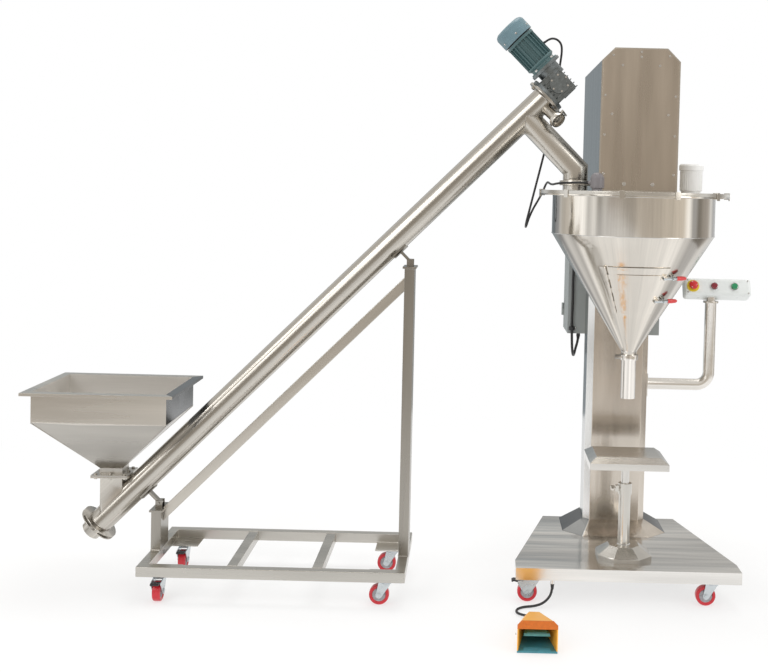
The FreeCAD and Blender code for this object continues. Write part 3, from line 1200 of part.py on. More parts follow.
def trolley_uprights():
    """Both posts with their cap plates, and the sloping brace between them."""
    t = TROLLEY_TUBE
    parts = []
    for x, top in ((SHORT_POST_X, SHORT_POST_TOP), (TALL_POST_X, TALL_POST_TOP)):
        parts.append(block(x - t / 2, x + t / 2, -POST_DEPTH / 2, POST_DEPTH / 2, TROLLEY_TOP, top))
        parts.append(block(x - t / 2 - 8, x + t / 2 + 8, -POST_DEPTH / 2 - 6, POST_DEPTH / 2 + 6,
                           top, top + POST_CAP))
    x0, x1 = SHORT_POST_X + t / 2, TALL_POST_X - t / 2
    half = t / 2 / math.cos(SLOPE)
    z0, z1 = tube_axis_z(x0) - BRACE_DROP, tube_axis_z(x1) - BRACE_DROP
    brace = prism([V(x0, -t / 2, z0 - half), V(x1, -t / 2, z1 - half), V(x1, -t / 2, z1 + half),
                   V(x0, -t / 2, z0 + half)], V(0, t, 0))
    return fused(parts + [brace])


def tube_brackets():
    """Lugs welded under the feeder tube, each on a pin in the ears of its post's cap."""
    brackets = []
    for x, top in ((SHORT_POST_X, SHORT_POST_TOP), (TALL_POST_X, TALL_POST_TOP)):
        pin_at = V(x, 0, top + POST_CAP + LUG_PIN_HEIGHT)
        reach = (tube_axis_z(x) - pin_at.z) * math.cos(SLOPE)
        arm = Part.makeBox(LUG_THICK, LUG_WIDTH, reach - FEED_TUBE / 2 - 1,
                           V(-LUG_THICK / 2, -LUG_WIDTH / 2, 0))
        arm = moved(arm, pin_at, MOTOR_DIR, Y_AXIS)
        eye = rod(pin_at - Y_AXIS * (LUG_WIDTH / 2), Y_AXIS, LUG_EYE, LUG_WIDTH)
        foot = pin_at + MOTOR_DIR * reach - TUBE_DIR * (SADDLE_LENGTH / 2)
        ring = pipe(foot, TUBE_DIR, FEED_TUBE + 2 * SADDLE_THICK, FEED_TUBE, SADDLE_LENGTH)
        under = Part.makeBox(SADDLE_LENGTH, SADDLE_WIDTH, FEED_TUBE,
                             V(-SADDLE_LENGTH / 2, -SADDLE_WIDTH / 2, 0))
        under = moved(under, pin_at + MOTOR_DIR * (reach - FEED_TUBE - 4), MOTOR_DIR, Y_AXIS)
        ears = [block(x - 14, x + 14, y, y + 6, top + POST_CAP, pin_at.z + 10)
                for y in (-LUG_WIDTH / 2 - 6.5, LUG_WIDTH / 2 + 0.5)]
        pin = rod(pin_at - Y_AXIS * (LUG_WIDTH / 2 + 12), Y_AXIS, LUG_PIN, LUG_WIDTH + 24)
        brackets += [fused([arm, eye, ring.common(under)]).cut(pin), fused(ears + [pin])]
    return brackets


# ---------------------------------------------------------------- casters
HEAD_GAP = 0.5                                     # running gap of the swivel head
PLATE_BOSS = 7.0
FORK_HALF = WHEEL_WIDTH / 2 + FORK_GAP
HEAD_BOTTOM_Z = CASTER_HEIGHT - CASTER_PLATE[2] - PLATE_BOSS - HEAD_GAP
BRAKE_PIVOT = (-CASTER_TRAIL - 33.0, WHEEL_DIAMETER / 2 + 40.0)
BRAKE_PIN = 5.0
BRAKE_LENGTH = 31.0


def caster_plate():
    wide, deep, thick = CASTER_PLATE
    plate = prism(chamfered(wide, deep, 8, CASTER_HEIGHT - thick), V(0, 0, thick))
    boss = rod(V(0, 0, CASTER_HEIGHT - thick - PLATE_BOSS), Z_AXIS, CASTER_HEAD_DIAMETER - 8,
               PLATE_BOSS)
    bore = rod(V(0, 0, CASTER_HEIGHT - thick - PLATE_BOSS - 1), Z_AXIS, 12 + 2 * RUN_CLEARANCE,
               PLATE_BOSS + 1)
    return fused([plate, boss]).cut(bore)


def caster_fork(braked):
    """Swivel head, two cheeks and axle, at a swivel axis on the origin, trailing to -X."""
    axle_z = WHEEL_DIAMETER / 2
    head = turned([(0, 0), (CASTER_HEAD_DIAMETER / 2 - 3, 0), (CASTER_HEAD_DIAMETER / 2, 4),
                   (CASTER_HEAD_DIAMETER / 2, 10), (0, 10)], V(0, 0, HEAD_BOTTOM_Z - 10))
    pin = rod(V(0, 0, HEAD_BOTTOM_Z - 2), Z_AXIS, 12, PLATE_BOSS + 1)
    top = HEAD_BOTTOM_Z - 6
    crown = block(-CASTER_HEAD_DIAMETER / 2, CASTER_HEAD_DIAMETER / 2 - 6, -FORK_HALF - FORK_CHEEK,
                  FORK_HALF + FORK_CHEEK, top - 4, top)
    pieces = [head, pin, crown]
    back = -CASTER_HEAD_DIAMETER / 2
    outline = [(CASTER_HEAD_DIAMETER / 2 - 6, top), (-CASTER_TRAIL + 13, axle_z - 4),
               (-CASTER_TRAIL - 13, axle_z - 4)]
    if braked:
        px, pz = BRAKE_PIVOT
        outline += [(px - 6, pz - 6), (px - 6, pz + 5), (px + 6, pz + 6)]
    outline += [(back, top)]
    for side in (-1, 1):
        y = side * (FORK_HALF + FORK_CHEEK / 2) - FORK_CHEEK / 2
        cheek = prism([V(x, y, z) for x, z in outline], V(0, FORK_CHEEK, 0))
        end = rod(V(-CASTER_TRAIL, y, axle_z), Y_AXIS, 26, FORK_CHEEK)
        pieces += [cheek, end]
    width = 2 * (FORK_HALF + FORK_CHEEK)
    pieces.append(rod(V(-CASTER_TRAIL, -width / 2 - 4, axle_z), Y_AXIS, AXLE_DIAMETER, width + 8))
    if braked:
        pieces.append(rod(V(BRAKE_PIVOT[0], -width / 2, BRAKE_PIVOT[1]), Y_AXIS, BRAKE_PIN, width))
    return fused(pieces)


def caster_wheel():
    r, w = WHEEL_DIAMETER / 2, WHEEL_WIDTH / 2
    bore = AXLE_DIAMETER / 2 + RUN_CLEARANCE
    outline = [(bore, -w - 1), (bore + 5, -w - 1), (bore + 5, -w + 5), (r - 14, -w + 5),
               (r - 11, -w), (r - 4, -w), (r, -w + 5), (r, w - 5), (r - 4, w), (r - 11, w),
               (r - 14, w - 5), (bore + 5, w - 5), (bore + 5, w + 1), (bore, w + 1)]
    return turned(outline, V(-CASTER_TRAIL, 0, r), Y_AXIS)


def brake_pedal():
    px, pz = BRAKE_PIVOT
    half = FORK_HALF - 1
    barrel = rod(V(px, -half, pz), Y_AXIS, 11, 2 * half)
    reach = BRAKE_LENGTH
    plate = prism([V(px, -half, pz - 3), V(px, -half, pz + 5), V(px - reach + 8, -half, pz + 7),
                   V(px - reach, -half, pz + 3), V(px - reach + 1, -half, pz - 1),
                   V(px - reach + 10, -half, pz + 2)], V(0, 2 * half, 0))
    bore = rod(V(px, -half - 1, pz), Y_AXIS, BRAKE_PIN + 2 * RUN_CLEARANCE, 2 * half + 2)
    return fused([barrel, plate]).cut(bore)


def caster_places():
    """Name, swivel axis, heading in degrees and brake of each caster."""
    x0, x1 = TROLLEY_LEFT + TROLLEY_CASTER_INSET_X, TROLLEY_RIGHT - TROLLEY_CASTER_INSET_X
    y = TROLLEY_DEPTH / 2 - TROLLEY_CASTER_INSET_Y
    front, rear = FRONT_CASTER_SPREAD / 2, REAR_CASTER_SPREAD / 2
    return [("filler_front_left", V(PAN_SHIFT_X - front, FRONT_CASTER_Y, 0), 0, True),
            ("filler_front_right", V(PAN_SHIFT_X + front, FRONT_CASTER_Y, 0), 0, False),
            ("filler_rear_left", V(PAN_SHIFT_X - rear, REAR_CASTER_Y, 0), 0, False),
            ("filler_rear_right", V(PAN_SHIFT_X + rear, REAR_CASTER_Y, 0), 0, False),
            ("trolley_front_left", V(x0, -y, 0), 90, True),
            ("trolley_rear_left", V(x0, y, 0), 90, True),
            ("trolley_front_right", V(x1, -y, 0), 0, False),
            ("trolley_rear_right", V(x1, y, 0), 0, False)]


def at_caster(shape, place, heading):
    copy = shape.copy()
    copy.rotate(V(0, 0, 0), Z_AXIS, heading)
    copy.translate(place)
    return copy


# ---------------------------------------------------------------- cords
MOTOR_LEAD_DIAMETER = 9.0
CABINET_LEAD_DIAMETER = 12.0
PEDAL_LEAD_DIAMETER = 10.0

SENSOR_PORT_DIR = V(-0.8, 0.6, 0)
SENSOR_PORT_Z = 1692.0
SENSOR_PORT = V(LEVEL_SENSOR_AT[0], LEVEL_SENSOR_AT[1], SENSOR_PORT_Z) + SENSOR_PORT_DIR * 38.4
PAN_PORT_AT = (-303.0, -186.0)
PAN_PORT_LENGTH = 14.0
PEDAL_PORT_AT = (-394.0, 22.0)                     # x and height on the pedal's rear face
PEDAL_PORT_LENGTH = 18.0
HEAD_PORT_AT = (-146.0, COLUMN_REAR_Y + 5)
CABINET_PORT_AT = (-150.0, CABINET_FRONT_Y + 106)
PORT_LENGTH = 20.0

MOTOR_LEAD = [
    MOTOR_GLAND_TIP, V(-361, 85, 2286), V(-329, 86, 2289), V(-305, 87, 2268), V(-302, 88, 2232),
    V(-309, 89, 2180), V(-316, 90, 2095), V(-324, 87, 2000), V(-345, 84, 1905),
    V(-365, 84, 1812), V(-386, 86, 1720), V(-405, 85, 1640), V(-420, 84, 1575),
    V(-431, 90, 1528), V(-434, 116, 1500), V(-429, 149, 1504), V(-419, 167, 1536),
    V(-402, 176, 1576), V(-380, 184, 1614), V(-361, 189, 1650), V(-350, 180, 1682),
    V(-343, 150, 1694), V(-337, 108, 1686), V(-329, 48, 1682), V(-320, -12, 1686),
    V(-292, -70, 1690), V(-238, -104, 1692), SENSOR_PORT]
CABINET_LEAD = [
    V(HEAD_PORT_AT[0], HEAD_PORT_AT[1], HEAD_BOTTOM - PORT_LENGTH - 0.4),
    *[V(x, COLUMN_REAR_Y + y, z) for x, y, z in (
        (-146.5, 5, 1570), (-160, 5.5, 1480), (-182, 5, 1385), (-192, 6, 1280), (-190, 7, 1165),
        (-192, 6, 1065), (-190, 9, 995), (-187, 14, 937), (-180, 43, 902), (-171, 88, 896),
        (-162, 119, 922))],
    V(CABINET_PORT_AT[0] - 1, CABINET_PORT_AT[1], CABINET_BOTTOM - PORT_LENGTH - 26),
    V(CABINET_PORT_AT[0], CABINET_PORT_AT[1], CABINET_BOTTOM - PORT_LENGTH - 0.4)]
PEDAL_LEAD = [
    V(PAN_PORT_AT[0], PAN_PORT_AT[1], CASTER_HEIGHT - PAN_PORT_LENGTH - 0.4),
    V(-303.5, -187, 62),
    V(-318, -196, 36), V(-344, -204, 17), V(-378, -207, 8), V(-413, -208, 5.6),
    V(-443, -232, 5.6), V(-449, -271, 5.6), V(-425, -306, 9), V(-397, -345, 20),
    V(PEDAL_PORT_AT[0], PEDAL_REAR_Y + PEDAL_PORT_LENGTH + 0.5, PEDAL_PORT_AT[1])]


def cord(name, points, diameter):
    """Tube along straight runs joined by arcs as large as the runs allow."""
    edges = []
    radii = []
    start = points[0]
    for before, corner, after in zip(points, points[1:], points[2:]):
        to, away = corner - before, after - corner
        turn = to.getAngle(away)
        shorter = min(to.Length, away.Length)
        cut = 0.45 * shorter
        radii.append(cut / math.tan(turn / 2))
        enter = corner - V(to).normalize() * cut
        leave = corner + V(away).normalize() * cut
        middle = V(away).normalize() - V(to).normalize()
        middle.normalize()
        sagitta = radii[-1] / math.cos(turn / 2) - radii[-1]
        edges.append(Part.LineSegment(start, enter).toShape())
        edges.append(Part.Arc(enter, corner + middle * sagitta, leave).toShape())
        start = leave
    edges.append(Part.LineSegment(start, points[-1]).toShape())
    path = Part.Wire(edges)
    first = (points[1] - points[0]).normalize()
    circle = Part.Wire([Part.makeCircle(diameter / 2, points[0], first)])
    tube = path.makePipeShell([circle], True, False)
    full = math.pi * diameter ** 2 / 4 * path.Length
    print(name, "length %.0f" % path.Length, "volume ratio %.4f" % (tube.Volume / full),
          "radii", " ".join("%.0f" % r for r in radii))
    return tube


def sensor_port():
    """Small gland on the level sensor's side."""
    base = V(LEVEL_SENSOR_AT[0], LEVEL_SENSOR_AT[1], SENSOR_PORT_Z) + SENSOR_PORT_DIR * 20
    return rod(base, SENSOR_PORT_DIR, 16, 18)


def downward_port(at, under, length):
    return rod(V(at[0], at[1], under - length), Z_AXIS, 18, length)


def pedal_port():
    return rod(V(PEDAL_PORT_AT[0], PEDAL_REAR_Y - 2, PEDAL_PORT_AT[1]), Y_AXIS, 18,
               PEDAL_PORT_LENGTH + 2)


# ---------------------------------------------------------------- the assembly
def assembly():
    """Every sub-part as name: list of solids, in the working frame."""
    pieces = {
        "base_pan": [base_pan(), downward_port(PAN_PORT_AT, CASTER_HEIGHT, PAN_PORT_LENGTH)],
        "column": [column(), column_skirt()],
        "head_housing": [head_housing(), downward_port(HEAD_PORT_AT, HEAD_BOTTOM, PORT_LENGTH)],
        "head_front_panel": [head_front_panel()] + head_screws(),
        "powder_hopper": [powder_hopper()],
        "hopper_cone": [hopper_cone(), door_hinge()] + [latch_strike(z) for z in LATCH_HEIGHTS],
        "hopper_lid": [hopper_lid()] + lid_clips(),
        "level_sensor": [fused([level_sensor(), sensor_port()])],
        "vent_filter": [vent_filter()],
        "nozzle_tube": [nozzle_tube(), nozzle_wing_bolt()],
        "table_stand": [table_stand()],
        "control_arm": [control_arm()],
        "cabinet_body": [cabinet_body(), downward_port(CABINET_PORT_AT, CABINET_BOTTOM,
                                                       PORT_LENGTH)],
        "pedal_housing": [fused([pedal_housing(), pedal_port()])],
        "pedal_base": [pedal_base()],
        "feeder_tube": [feeder_tube(), tail_bearing(), inspection_port()] + flange_bolts()
        + inlet_bolts(),
        "discharge_chute": [discharge_chute(), spout_clamp()],
        "feeder_gearbox": [feeder_gearbox()],
        "feeder_motor": [feeder_motor(), motor_terminal_box(), motor_fan_cowl()],
        "feed_hopper": [feed_hopper()],
        "trolley_base": [trolley_base()],
        "trolley_uprights": [trolley_uprights()],
        "tube_brackets": tube_brackets(),
        "feeder_screw": feeder_screw(),
        "auger": auger(),
        "agitator": [agitator()],
        "hopper_door": [hopper_door()],
        "product_table": [product_table()],
        "stand_clamp_knob": [stand_clamp_knob()],
        "button_box": button_box(),
        "estop_button": [estop_button()],
        "stop_button": [push_button(STOP_OFFSET)],
        "start_button": [push_button(START_OFFSET)],
        "cabinet_door": [cabinet_door()],
        "pedal_treadle": [pedal_treadle()],
        "feeder_lead": [cord("feeder_lead", MOTOR_LEAD, MOTOR_LEAD_DIAMETER)],
        "cabinet_lead": [cord("cabinet_lead", CABINET_LEAD, CABINET_LEAD_DIAMETER)],
        "pedal_lead": [cord("pedal_lead", PEDAL_LEAD, PEDAL_LEAD_DIAMETER)],
    }
    for name, z in zip(("upper", "lower"), LATCH_HEIGHTS):
        pieces[name + "_door_latch"] = [latch_lever(z)]
    plates = []
    for name, place, heading, braked in caster_places():
        plates.append(at_caster(caster_plate(), place, heading))
        pieces[name + "_fork"] = [at_caster(caster_fork(braked), place, heading)]
        pieces[name + "_wheel"] = [at_caster(caster_wheel(), place, heading)]
        if braked:
            pieces[name + "_brake"] = [at_caster(brake_pedal(), place, heading)]
    pieces["caster_plates"] = plates
    return pieces


def bottom_centre(pieces):
    """Middle of the assembly's bounding box on the floor, cords left out."""
    box = FreeCAD.BoundBox()
    for name, solids in pieces.items():
        if not name.endswith("_lead"):
            for solid in solids:
                box.add(solid.BoundBox)
    return V(box.Center.x, box.Center.y, box.ZMin)


def main():
    os.makedirs("parts", exist_ok=True)
    pieces = assembly()
    shift = bottom_centre(pieces) * -1
    print("auger axis at %.3f, %.3f, %.3f" % tuple(shift))
    for name, solids in pieces.items():
        for solid in solids:
            solid.translate(shift)
            if not solid.isValid() or solid.Volume <= 0:
                print("check", name, solid.ShapeType, solid.isValid(), solid.Volume)
        shape = solids[0] if len(solids) == 1 else Part.makeCompound(solids)
        shape.exportStep(os.path.join("parts", name + ".step"))
    print(len(pieces), "sub-parts")
    return shift


if __name__ == "__main__":
    main()
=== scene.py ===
"""Looks of an auger powder filler and the screw feeder that stands beside it."""

import math

import bmesh
import bpy
from mathutils import Matrix, Vector


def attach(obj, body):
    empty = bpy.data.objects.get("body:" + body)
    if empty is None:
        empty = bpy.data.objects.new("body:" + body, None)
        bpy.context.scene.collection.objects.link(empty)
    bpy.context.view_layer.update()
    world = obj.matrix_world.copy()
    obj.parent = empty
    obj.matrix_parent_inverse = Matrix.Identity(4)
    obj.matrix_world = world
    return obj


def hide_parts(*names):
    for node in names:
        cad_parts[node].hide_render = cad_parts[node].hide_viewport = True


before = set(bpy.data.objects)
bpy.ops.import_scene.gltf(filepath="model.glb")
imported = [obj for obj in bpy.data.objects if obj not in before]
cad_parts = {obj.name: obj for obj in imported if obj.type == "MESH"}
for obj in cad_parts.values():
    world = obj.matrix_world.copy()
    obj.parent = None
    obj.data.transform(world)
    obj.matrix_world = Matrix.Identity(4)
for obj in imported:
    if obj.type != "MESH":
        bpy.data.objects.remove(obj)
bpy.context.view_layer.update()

# ---------------------------------------------------------------- studio
# A pale floor that fades into a white surround. Soft lamps stand left, right and
# above, and the side of the room behind the camera is dimmer than the rest.


def node(tree, kind, sockets=(), **modes):
    """New node with its modes set and its sockets filled."""
    fresh = tree.nodes.new("ShaderNode" + kind)
    for name, value in modes.items():
        setattr(fresh, name, value)
    for name, value in dict(sockets).items():
        fresh.inputs[name].default_value = value
    return fresh


def wire(tree, *runs):
    """Link nodes, each run as (source, output, target, input)."""
    for source, output, target, socket in runs:
        tree.links.new(source.outputs[output], target.inputs[socket])


def fill_ramp(ramp, stops):
    """Give a colour ramp its stops, each as (place, colour)."""
    ramp.interpolation = "EASE"
    ramp.elements[0].position, ramp.elements[1].position = 0, 1
    for stop, tint in stops[1:-1]:
        ramp.elements.new(stop)
    for element, (stop, tint) in zip(ramp.elements, stops):
        element.color = (*tint, 1)


def spokes(count):
    """Unit vectors evenly round Z, the first along X."""
    return [Vector((math.cos(turn), math.sin(turn), 0))
            for turn in (math.tau * i / count for i in range(count))]


FLOOR_REACH = 3.7
FLOOR_SIDES = 96
floor_rim = [(*(spoke * FLOOR_REACH).xy, -0.001) for spoke in spokes(FLOOR_SIDES)]
floor_sheet = bpy.data.meshes.new("studio_floor")
floor_sheet.from_pydata(floor_rim, [], [tuple(range(FLOOR_SIDES))])
studio_floor = bpy.data.objects.new("studio_floor", floor_sheet)
bpy.context.scene.collection.objects.link(studio_floor)

floor_paint = bpy.data.materials.new("pale_floor")
floor_paint.use_nodes = True
tree = floor_paint.node_tree
tree.nodes.clear()
out = node(tree, "OutputMaterial")
matt = node(tree, "BsdfDiffuse", {"Color": (0.97, 0.97, 0.97, 1)})
glow = node(tree, "Emission", {"Color": (1, 1, 1, 1)})
fade = node(tree, "MapRange", {"From Min": 1.7, "From Max": 3.5, "To Min": 0.62},
            interpolation_type="SMOOTHSTEP")
spot = node(tree, "NewGeometry")
far = node(tree, "VectorMath", operation="LENGTH")
mix = node(tree, "MixShader")
wire(tree, (spot, "Position", far, 0), (far, "Value", fade, "Value"),
     (fade, "Result", mix, "Fac"), (matt, 0, mix, 1), (glow, 0, mix, 2),
     (mix, 0, out, "Surface"))
floor_sheet.materials.append(floor_paint)

studio_air = bpy.data.worlds.new("studio_air")
bpy.context.scene.world = studio_air
studio_air.use_nodes = True
tree = studio_air.node_tree
tree.nodes.clear()
out = node(tree, "OutputWorld")
path = node(tree, "LightPath")
white = node(tree, "Background", {"Color": (1, 1, 1, 1)})
light = node(tree, "Background", {"Color": (1.0, 0.99, 0.97, 1), "Strength": 0.88})
room = node(tree, "Background")
direction = node(tree, "TexCoord")
bearing = node(tree, "TexGradient", gradient_type="RADIAL")
wall = node(tree, "ValToRGB")
WALL_STOPS = [(0.0, (1.0, 1.0, 1.0)), (0.075, (1.0, 0.99, 0.97)), (0.09, (0.66, 0.63, 0.58)),
              (0.115, (0.86, 0.84, 0.80)), (0.14, (0.58, 0.52, 0.46)), (0.20, (0.50, 0.455, 0.395)),
              (0.27, (0.54, 0.49, 0.43)), (0.44, (0.58, 0.53, 0.465)), (0.47, (0.98, 0.97, 0.95)),
              (0.50, (1.0, 1.0, 1.0)), (0.525, (0.38, 0.35, 0.31)), (0.59, (0.44, 0.41, 0.38)),
              (0.625, (0.96, 0.96, 0.95)), (0.67, (0.92, 0.92, 0.92)), (0.71, (0.42, 0.42, 0.41)),
              (0.755, (0.30, 0.33, 0.345)), (0.81, (0.34, 0.38, 0.40)), (0.855, (0.90, 0.91, 0.92)),
              (0.90, (0.42, 0.40, 0.37)), (0.935, (0.52, 0.49, 0.45)), (0.965, (1.0, 1.0, 0.99)),
              (1.0, (1.0, 1.0, 1.0))]
fill_ramp(wall.color_ramp, WALL_STOPS)
height = node(tree, "SeparateXYZ")
rise = node(tree, "MapRange", {"From Min": 0.10, "From Max": 0.55},
            interpolation_type="SMOOTHSTEP")
ceiling = node(tree, "Mix", {"B": (0.76, 0.74, 0.71, 1)}, data_type="RGBA")
glossy = node(tree, "Math", operation="MAXIMUM")
mirrored = node(tree, "MixShader")
seen = node(tree, "MixShader")
wire(tree, (direction, "Generated", bearing, "Vector"), (direction, "Generated", height, 0),
     (bearing, "Fac", wall, "Fac"), (height, "Z", rise, "Value"),
     (rise, "Result", ceiling, "Factor"), (wall, "Color", ceiling, "A"),
     (ceiling, "Result", room, "Color"), (path, "Is Glossy Ray", glossy, 0),
     (path, "Is Transmission Ray", glossy, 1), (glossy, 0, mirrored, "Fac"),
     (light, 0, mirrored, 1), (room, 0, mirrored, 2), (path, "Is Camera Ray", seen, "Fac"),
     (mirrored, 0, seen, 1), (white, 0, seen, 2), (seen, 0, out, "Surface"))


def soft_lamp(name, at, aim, size, watts):
    """Square soft box that stands at one point and faces another."""
    lamp = bpy.data.lights.new(name, "AREA")
    lamp.shape = "RECTANGLE"
    lamp.size, lamp.size_y = size
    lamp.energy = watts
    holder = bpy.data.objects.new(name, lamp)
    bpy.context.scene.collection.objects.link(holder)
    holder.location = at
    holder.rotation_euler = (Vector(aim) - Vector(at)).to_track_quat("-Z", "Y").to_euler()


soft_lamp("lamp_left", (-3.4, -4.4, 3.6), (0, 0, 1.1), (2.4, 2.4), 62)
soft_lamp("lamp_right", (4.6, -3.0, 3.0), (0, 0, 1.1), (1.6, 2.6), 36)
soft_lamp("lamp_top", (0.2, 0.6, 5.4), (0, 0, 0), (3.4, 2.4), 70)

# ---------------------------------------------------------------- camera
# Stands 4.7 m in front of the auger and 1.66 m up, level with the hopper's rim. All
# places are given in millimetres from the auger's axis and the floor.
AUGER_X, AUGER_Y = 909.0, -73.5


def place(x, y, z):
    """Point in metres about the middle of the whole machine."""
    return Vector(((x + AUGER_X) / 1000, (y + AUGER_Y) / 1000, z / 1000))


lens = bpy.data.cameras.new("camera")
lens.sensor_width = 36.0
lens.lens = 53.75
lens.shift_x = -0.118
lens.shift_y = -0.139
lens.clip_end = 100
camera = bpy.data.objects.new("camera", lens)
bpy.context.scene.collection.objects.link(camera)
camera.matrix_world = (Matrix.Translation(place(-647, -4700, 1655))
                       @ Matrix.Rotation(math.radians(88.0), 4, "X")
                       @ Matrix.Rotation(math.radians(1.4), 4, "Z"))
bpy.context.scene.camera = camera
bpy.context.scene.view_settings.view_transform = "Standard"

# ---------------------------------------------------------------- leads
# Three rubber leads: from the feeder's motor to the level sensor,
# from the head down to the drive cabinet, and from the base pan to the pedal.
STILL = "machine_frame"


def shades(colour, change):
    """A colour's darker and lighter neighbour, for the two ends of a mix."""
    return {"A": (*[c * (1 - change) for c in colour], 1),
            "B": (*[min(1, c * (1 + change)) for c in colour], 1)}


def blank(name, metallic):
    """New material, its node tree and its shader."""
    finish = bpy.data.materials.new(name)
    finish.use_nodes = True
    shader = finish.node_tree.nodes["Principled BSDF"]
    shader.inputs["Metallic"].default_value = metallic
    return finish, finish.node_tree, shader


def painted(name, colour, rough, metallic=0.0, grain=60.0, change=0.10, rough_change=0.08,
            bump=0.0, skin_scale=900.0, coat=0.0):
    """Finish with slow changes of tone and gloss, and a fine skin where asked."""
    paint, tree, shader = blank(name, metallic)
    shader.inputs["Coat Weight"].default_value = coat
    where = node(tree, "TexCoord")
    cloud = node(tree, "TexNoise", {"Scale": grain, "Detail": 4})
    tone = node(tree, "Mix", shades(colour, change), data_type="RGBA")
    gloss = node(tree, "MapRange", {"To Min": max(0.03, rough - rough_change),
                                    "To Max": min(1, rough + rough_change)})
    wire(tree, (where, "Object", cloud, "Vector"), (cloud, "Fac", tone, "Factor"),
         (cloud, "Fac", gloss, "Value"), (tone, "Result", shader, "Base Color"),
         (gloss, "Result", shader, "Roughness"))
    if bump:
        skin = node(tree, "TexNoise", {"Scale": skin_scale})
        relief = node(tree, "Bump", {"Strength": bump, "Distance": 0.0006})
        wire(tree, (where, "Object", skin, "Vector"), (skin, "Fac", relief, "Height"),
             (relief, "Normal", shader, "Normal"))
    return paint


def shown(name, data, body, stands_for=()):
    """Put a finished mesh or curve in the scene, carried by one body."""
    thing = bpy.data.objects.new(name, data)
    bpy.context.scene.collection.objects.link(thing)
    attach(thing, body)
    for solid in stands_for:
        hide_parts(solid)
    return thing


black_rubber = painted("black_lead_rubber", (0.022, 0.022, 0.023), 0.45, change=0.25, bump=0.15)


def lead(solid, route, diameter):
    """Round lead laid along its control points, from its first gland to its last."""
    line = bpy.data.curves.new(solid + "_line", "CURVE")
    line.dimensions = "3D"
    line.resolution_u = 10
    line.bevel_depth = diameter / 2000
    line.bevel_resolution = 5
    spline = line.splines.new("NURBS")
    points = [place(*p) for p in route]
    spline.points.add(len(points) - 1)
    for point, at in zip(spline.points, points):
        point.co = (*at, 1)
    spline.order_u = 3
    spline.use_endpoint_u = True
    line.use_fill_caps = True
    line.materials.append(black_rubber)
    cable = shown(solid + "_cable", line, STILL, [solid])


MOTOR_ROUTE = [
    (-389.6, 85, 2257.2), (-361, 85, 2286), (-329, 86, 2289), (-305, 87, 2268),
    (-302, 88, 2232), (-309, 89, 2180), (-316, 90, 2095), (-324, 87, 2000),
    (-345, 84, 1905), (-365, 84, 1812), (-386, 86, 1720), (-405, 85, 1640),
    (-420, 84, 1575), (-431, 90, 1528), (-434, 116, 1500), (-429, 149, 1504),
    (-419, 167, 1536), (-402, 176, 1576), (-380, 184, 1614), (-361, 189, 1650),
    (-350, 180, 1682), (-343, 150, 1694), (-337, 108, 1686), (-329, 48, 1682),
    (-320, -12, 1686), (-292, -70, 1690), (-238, -104, 1692), (-196.7, -135.0, 1692)]
CABINET_ROUTE = [
    (-146, 531, 1639.6), (-146.5, 531, 1570), (-160, 531.5, 1480), (-182, 531, 1385),
    (-192, 532, 1280), (-190, 533, 1165), (-192, 532, 1065), (-190, 535, 995),
    (-187, 540, 937), (-180, 569, 902), (-171, 614, 896), (-162, 645, 922),
    (-151, 650, 959), (-150, 650, 984.6)]
PEDAL_ROUTE = [
    (-303, -186, 93.6), (-303.5, -187, 62), (-318, -196, 36), (-344, -204, 17),
    (-378, -207, 8), (-413, -208, 5.6), (-443, -232, 5.6), (-449, -271, 5.6),
    (-425, -306, 9), (-397, -345, 20), (-394, -386.5, 22)]
MOTOR_LEAD_WIDE, CABINET_LEAD_WIDE, PEDAL_LEAD_WIDE = 9.0, 12.0, 10.0
lead("feeder_lead", MOTOR_ROUTE, MOTOR_LEAD_WIDE)
lead("cabinet_lead", CABINET_ROUTE, CABINET_LEAD_WIDE)
lead("pedal_lead", PEDAL_ROUTE, PEDAL_LEAD_WIDE)

# ---------------------------------------------------------------- base pan and column
# Folded stainless sheet: a shallow pan on casters, and an eight-sided column welded
# to it over a flared skirt. Corners are folded, seams are ground and brushed.
ACROSS_HAIRS = 900.0
ALONG_HAIRS = 6.0


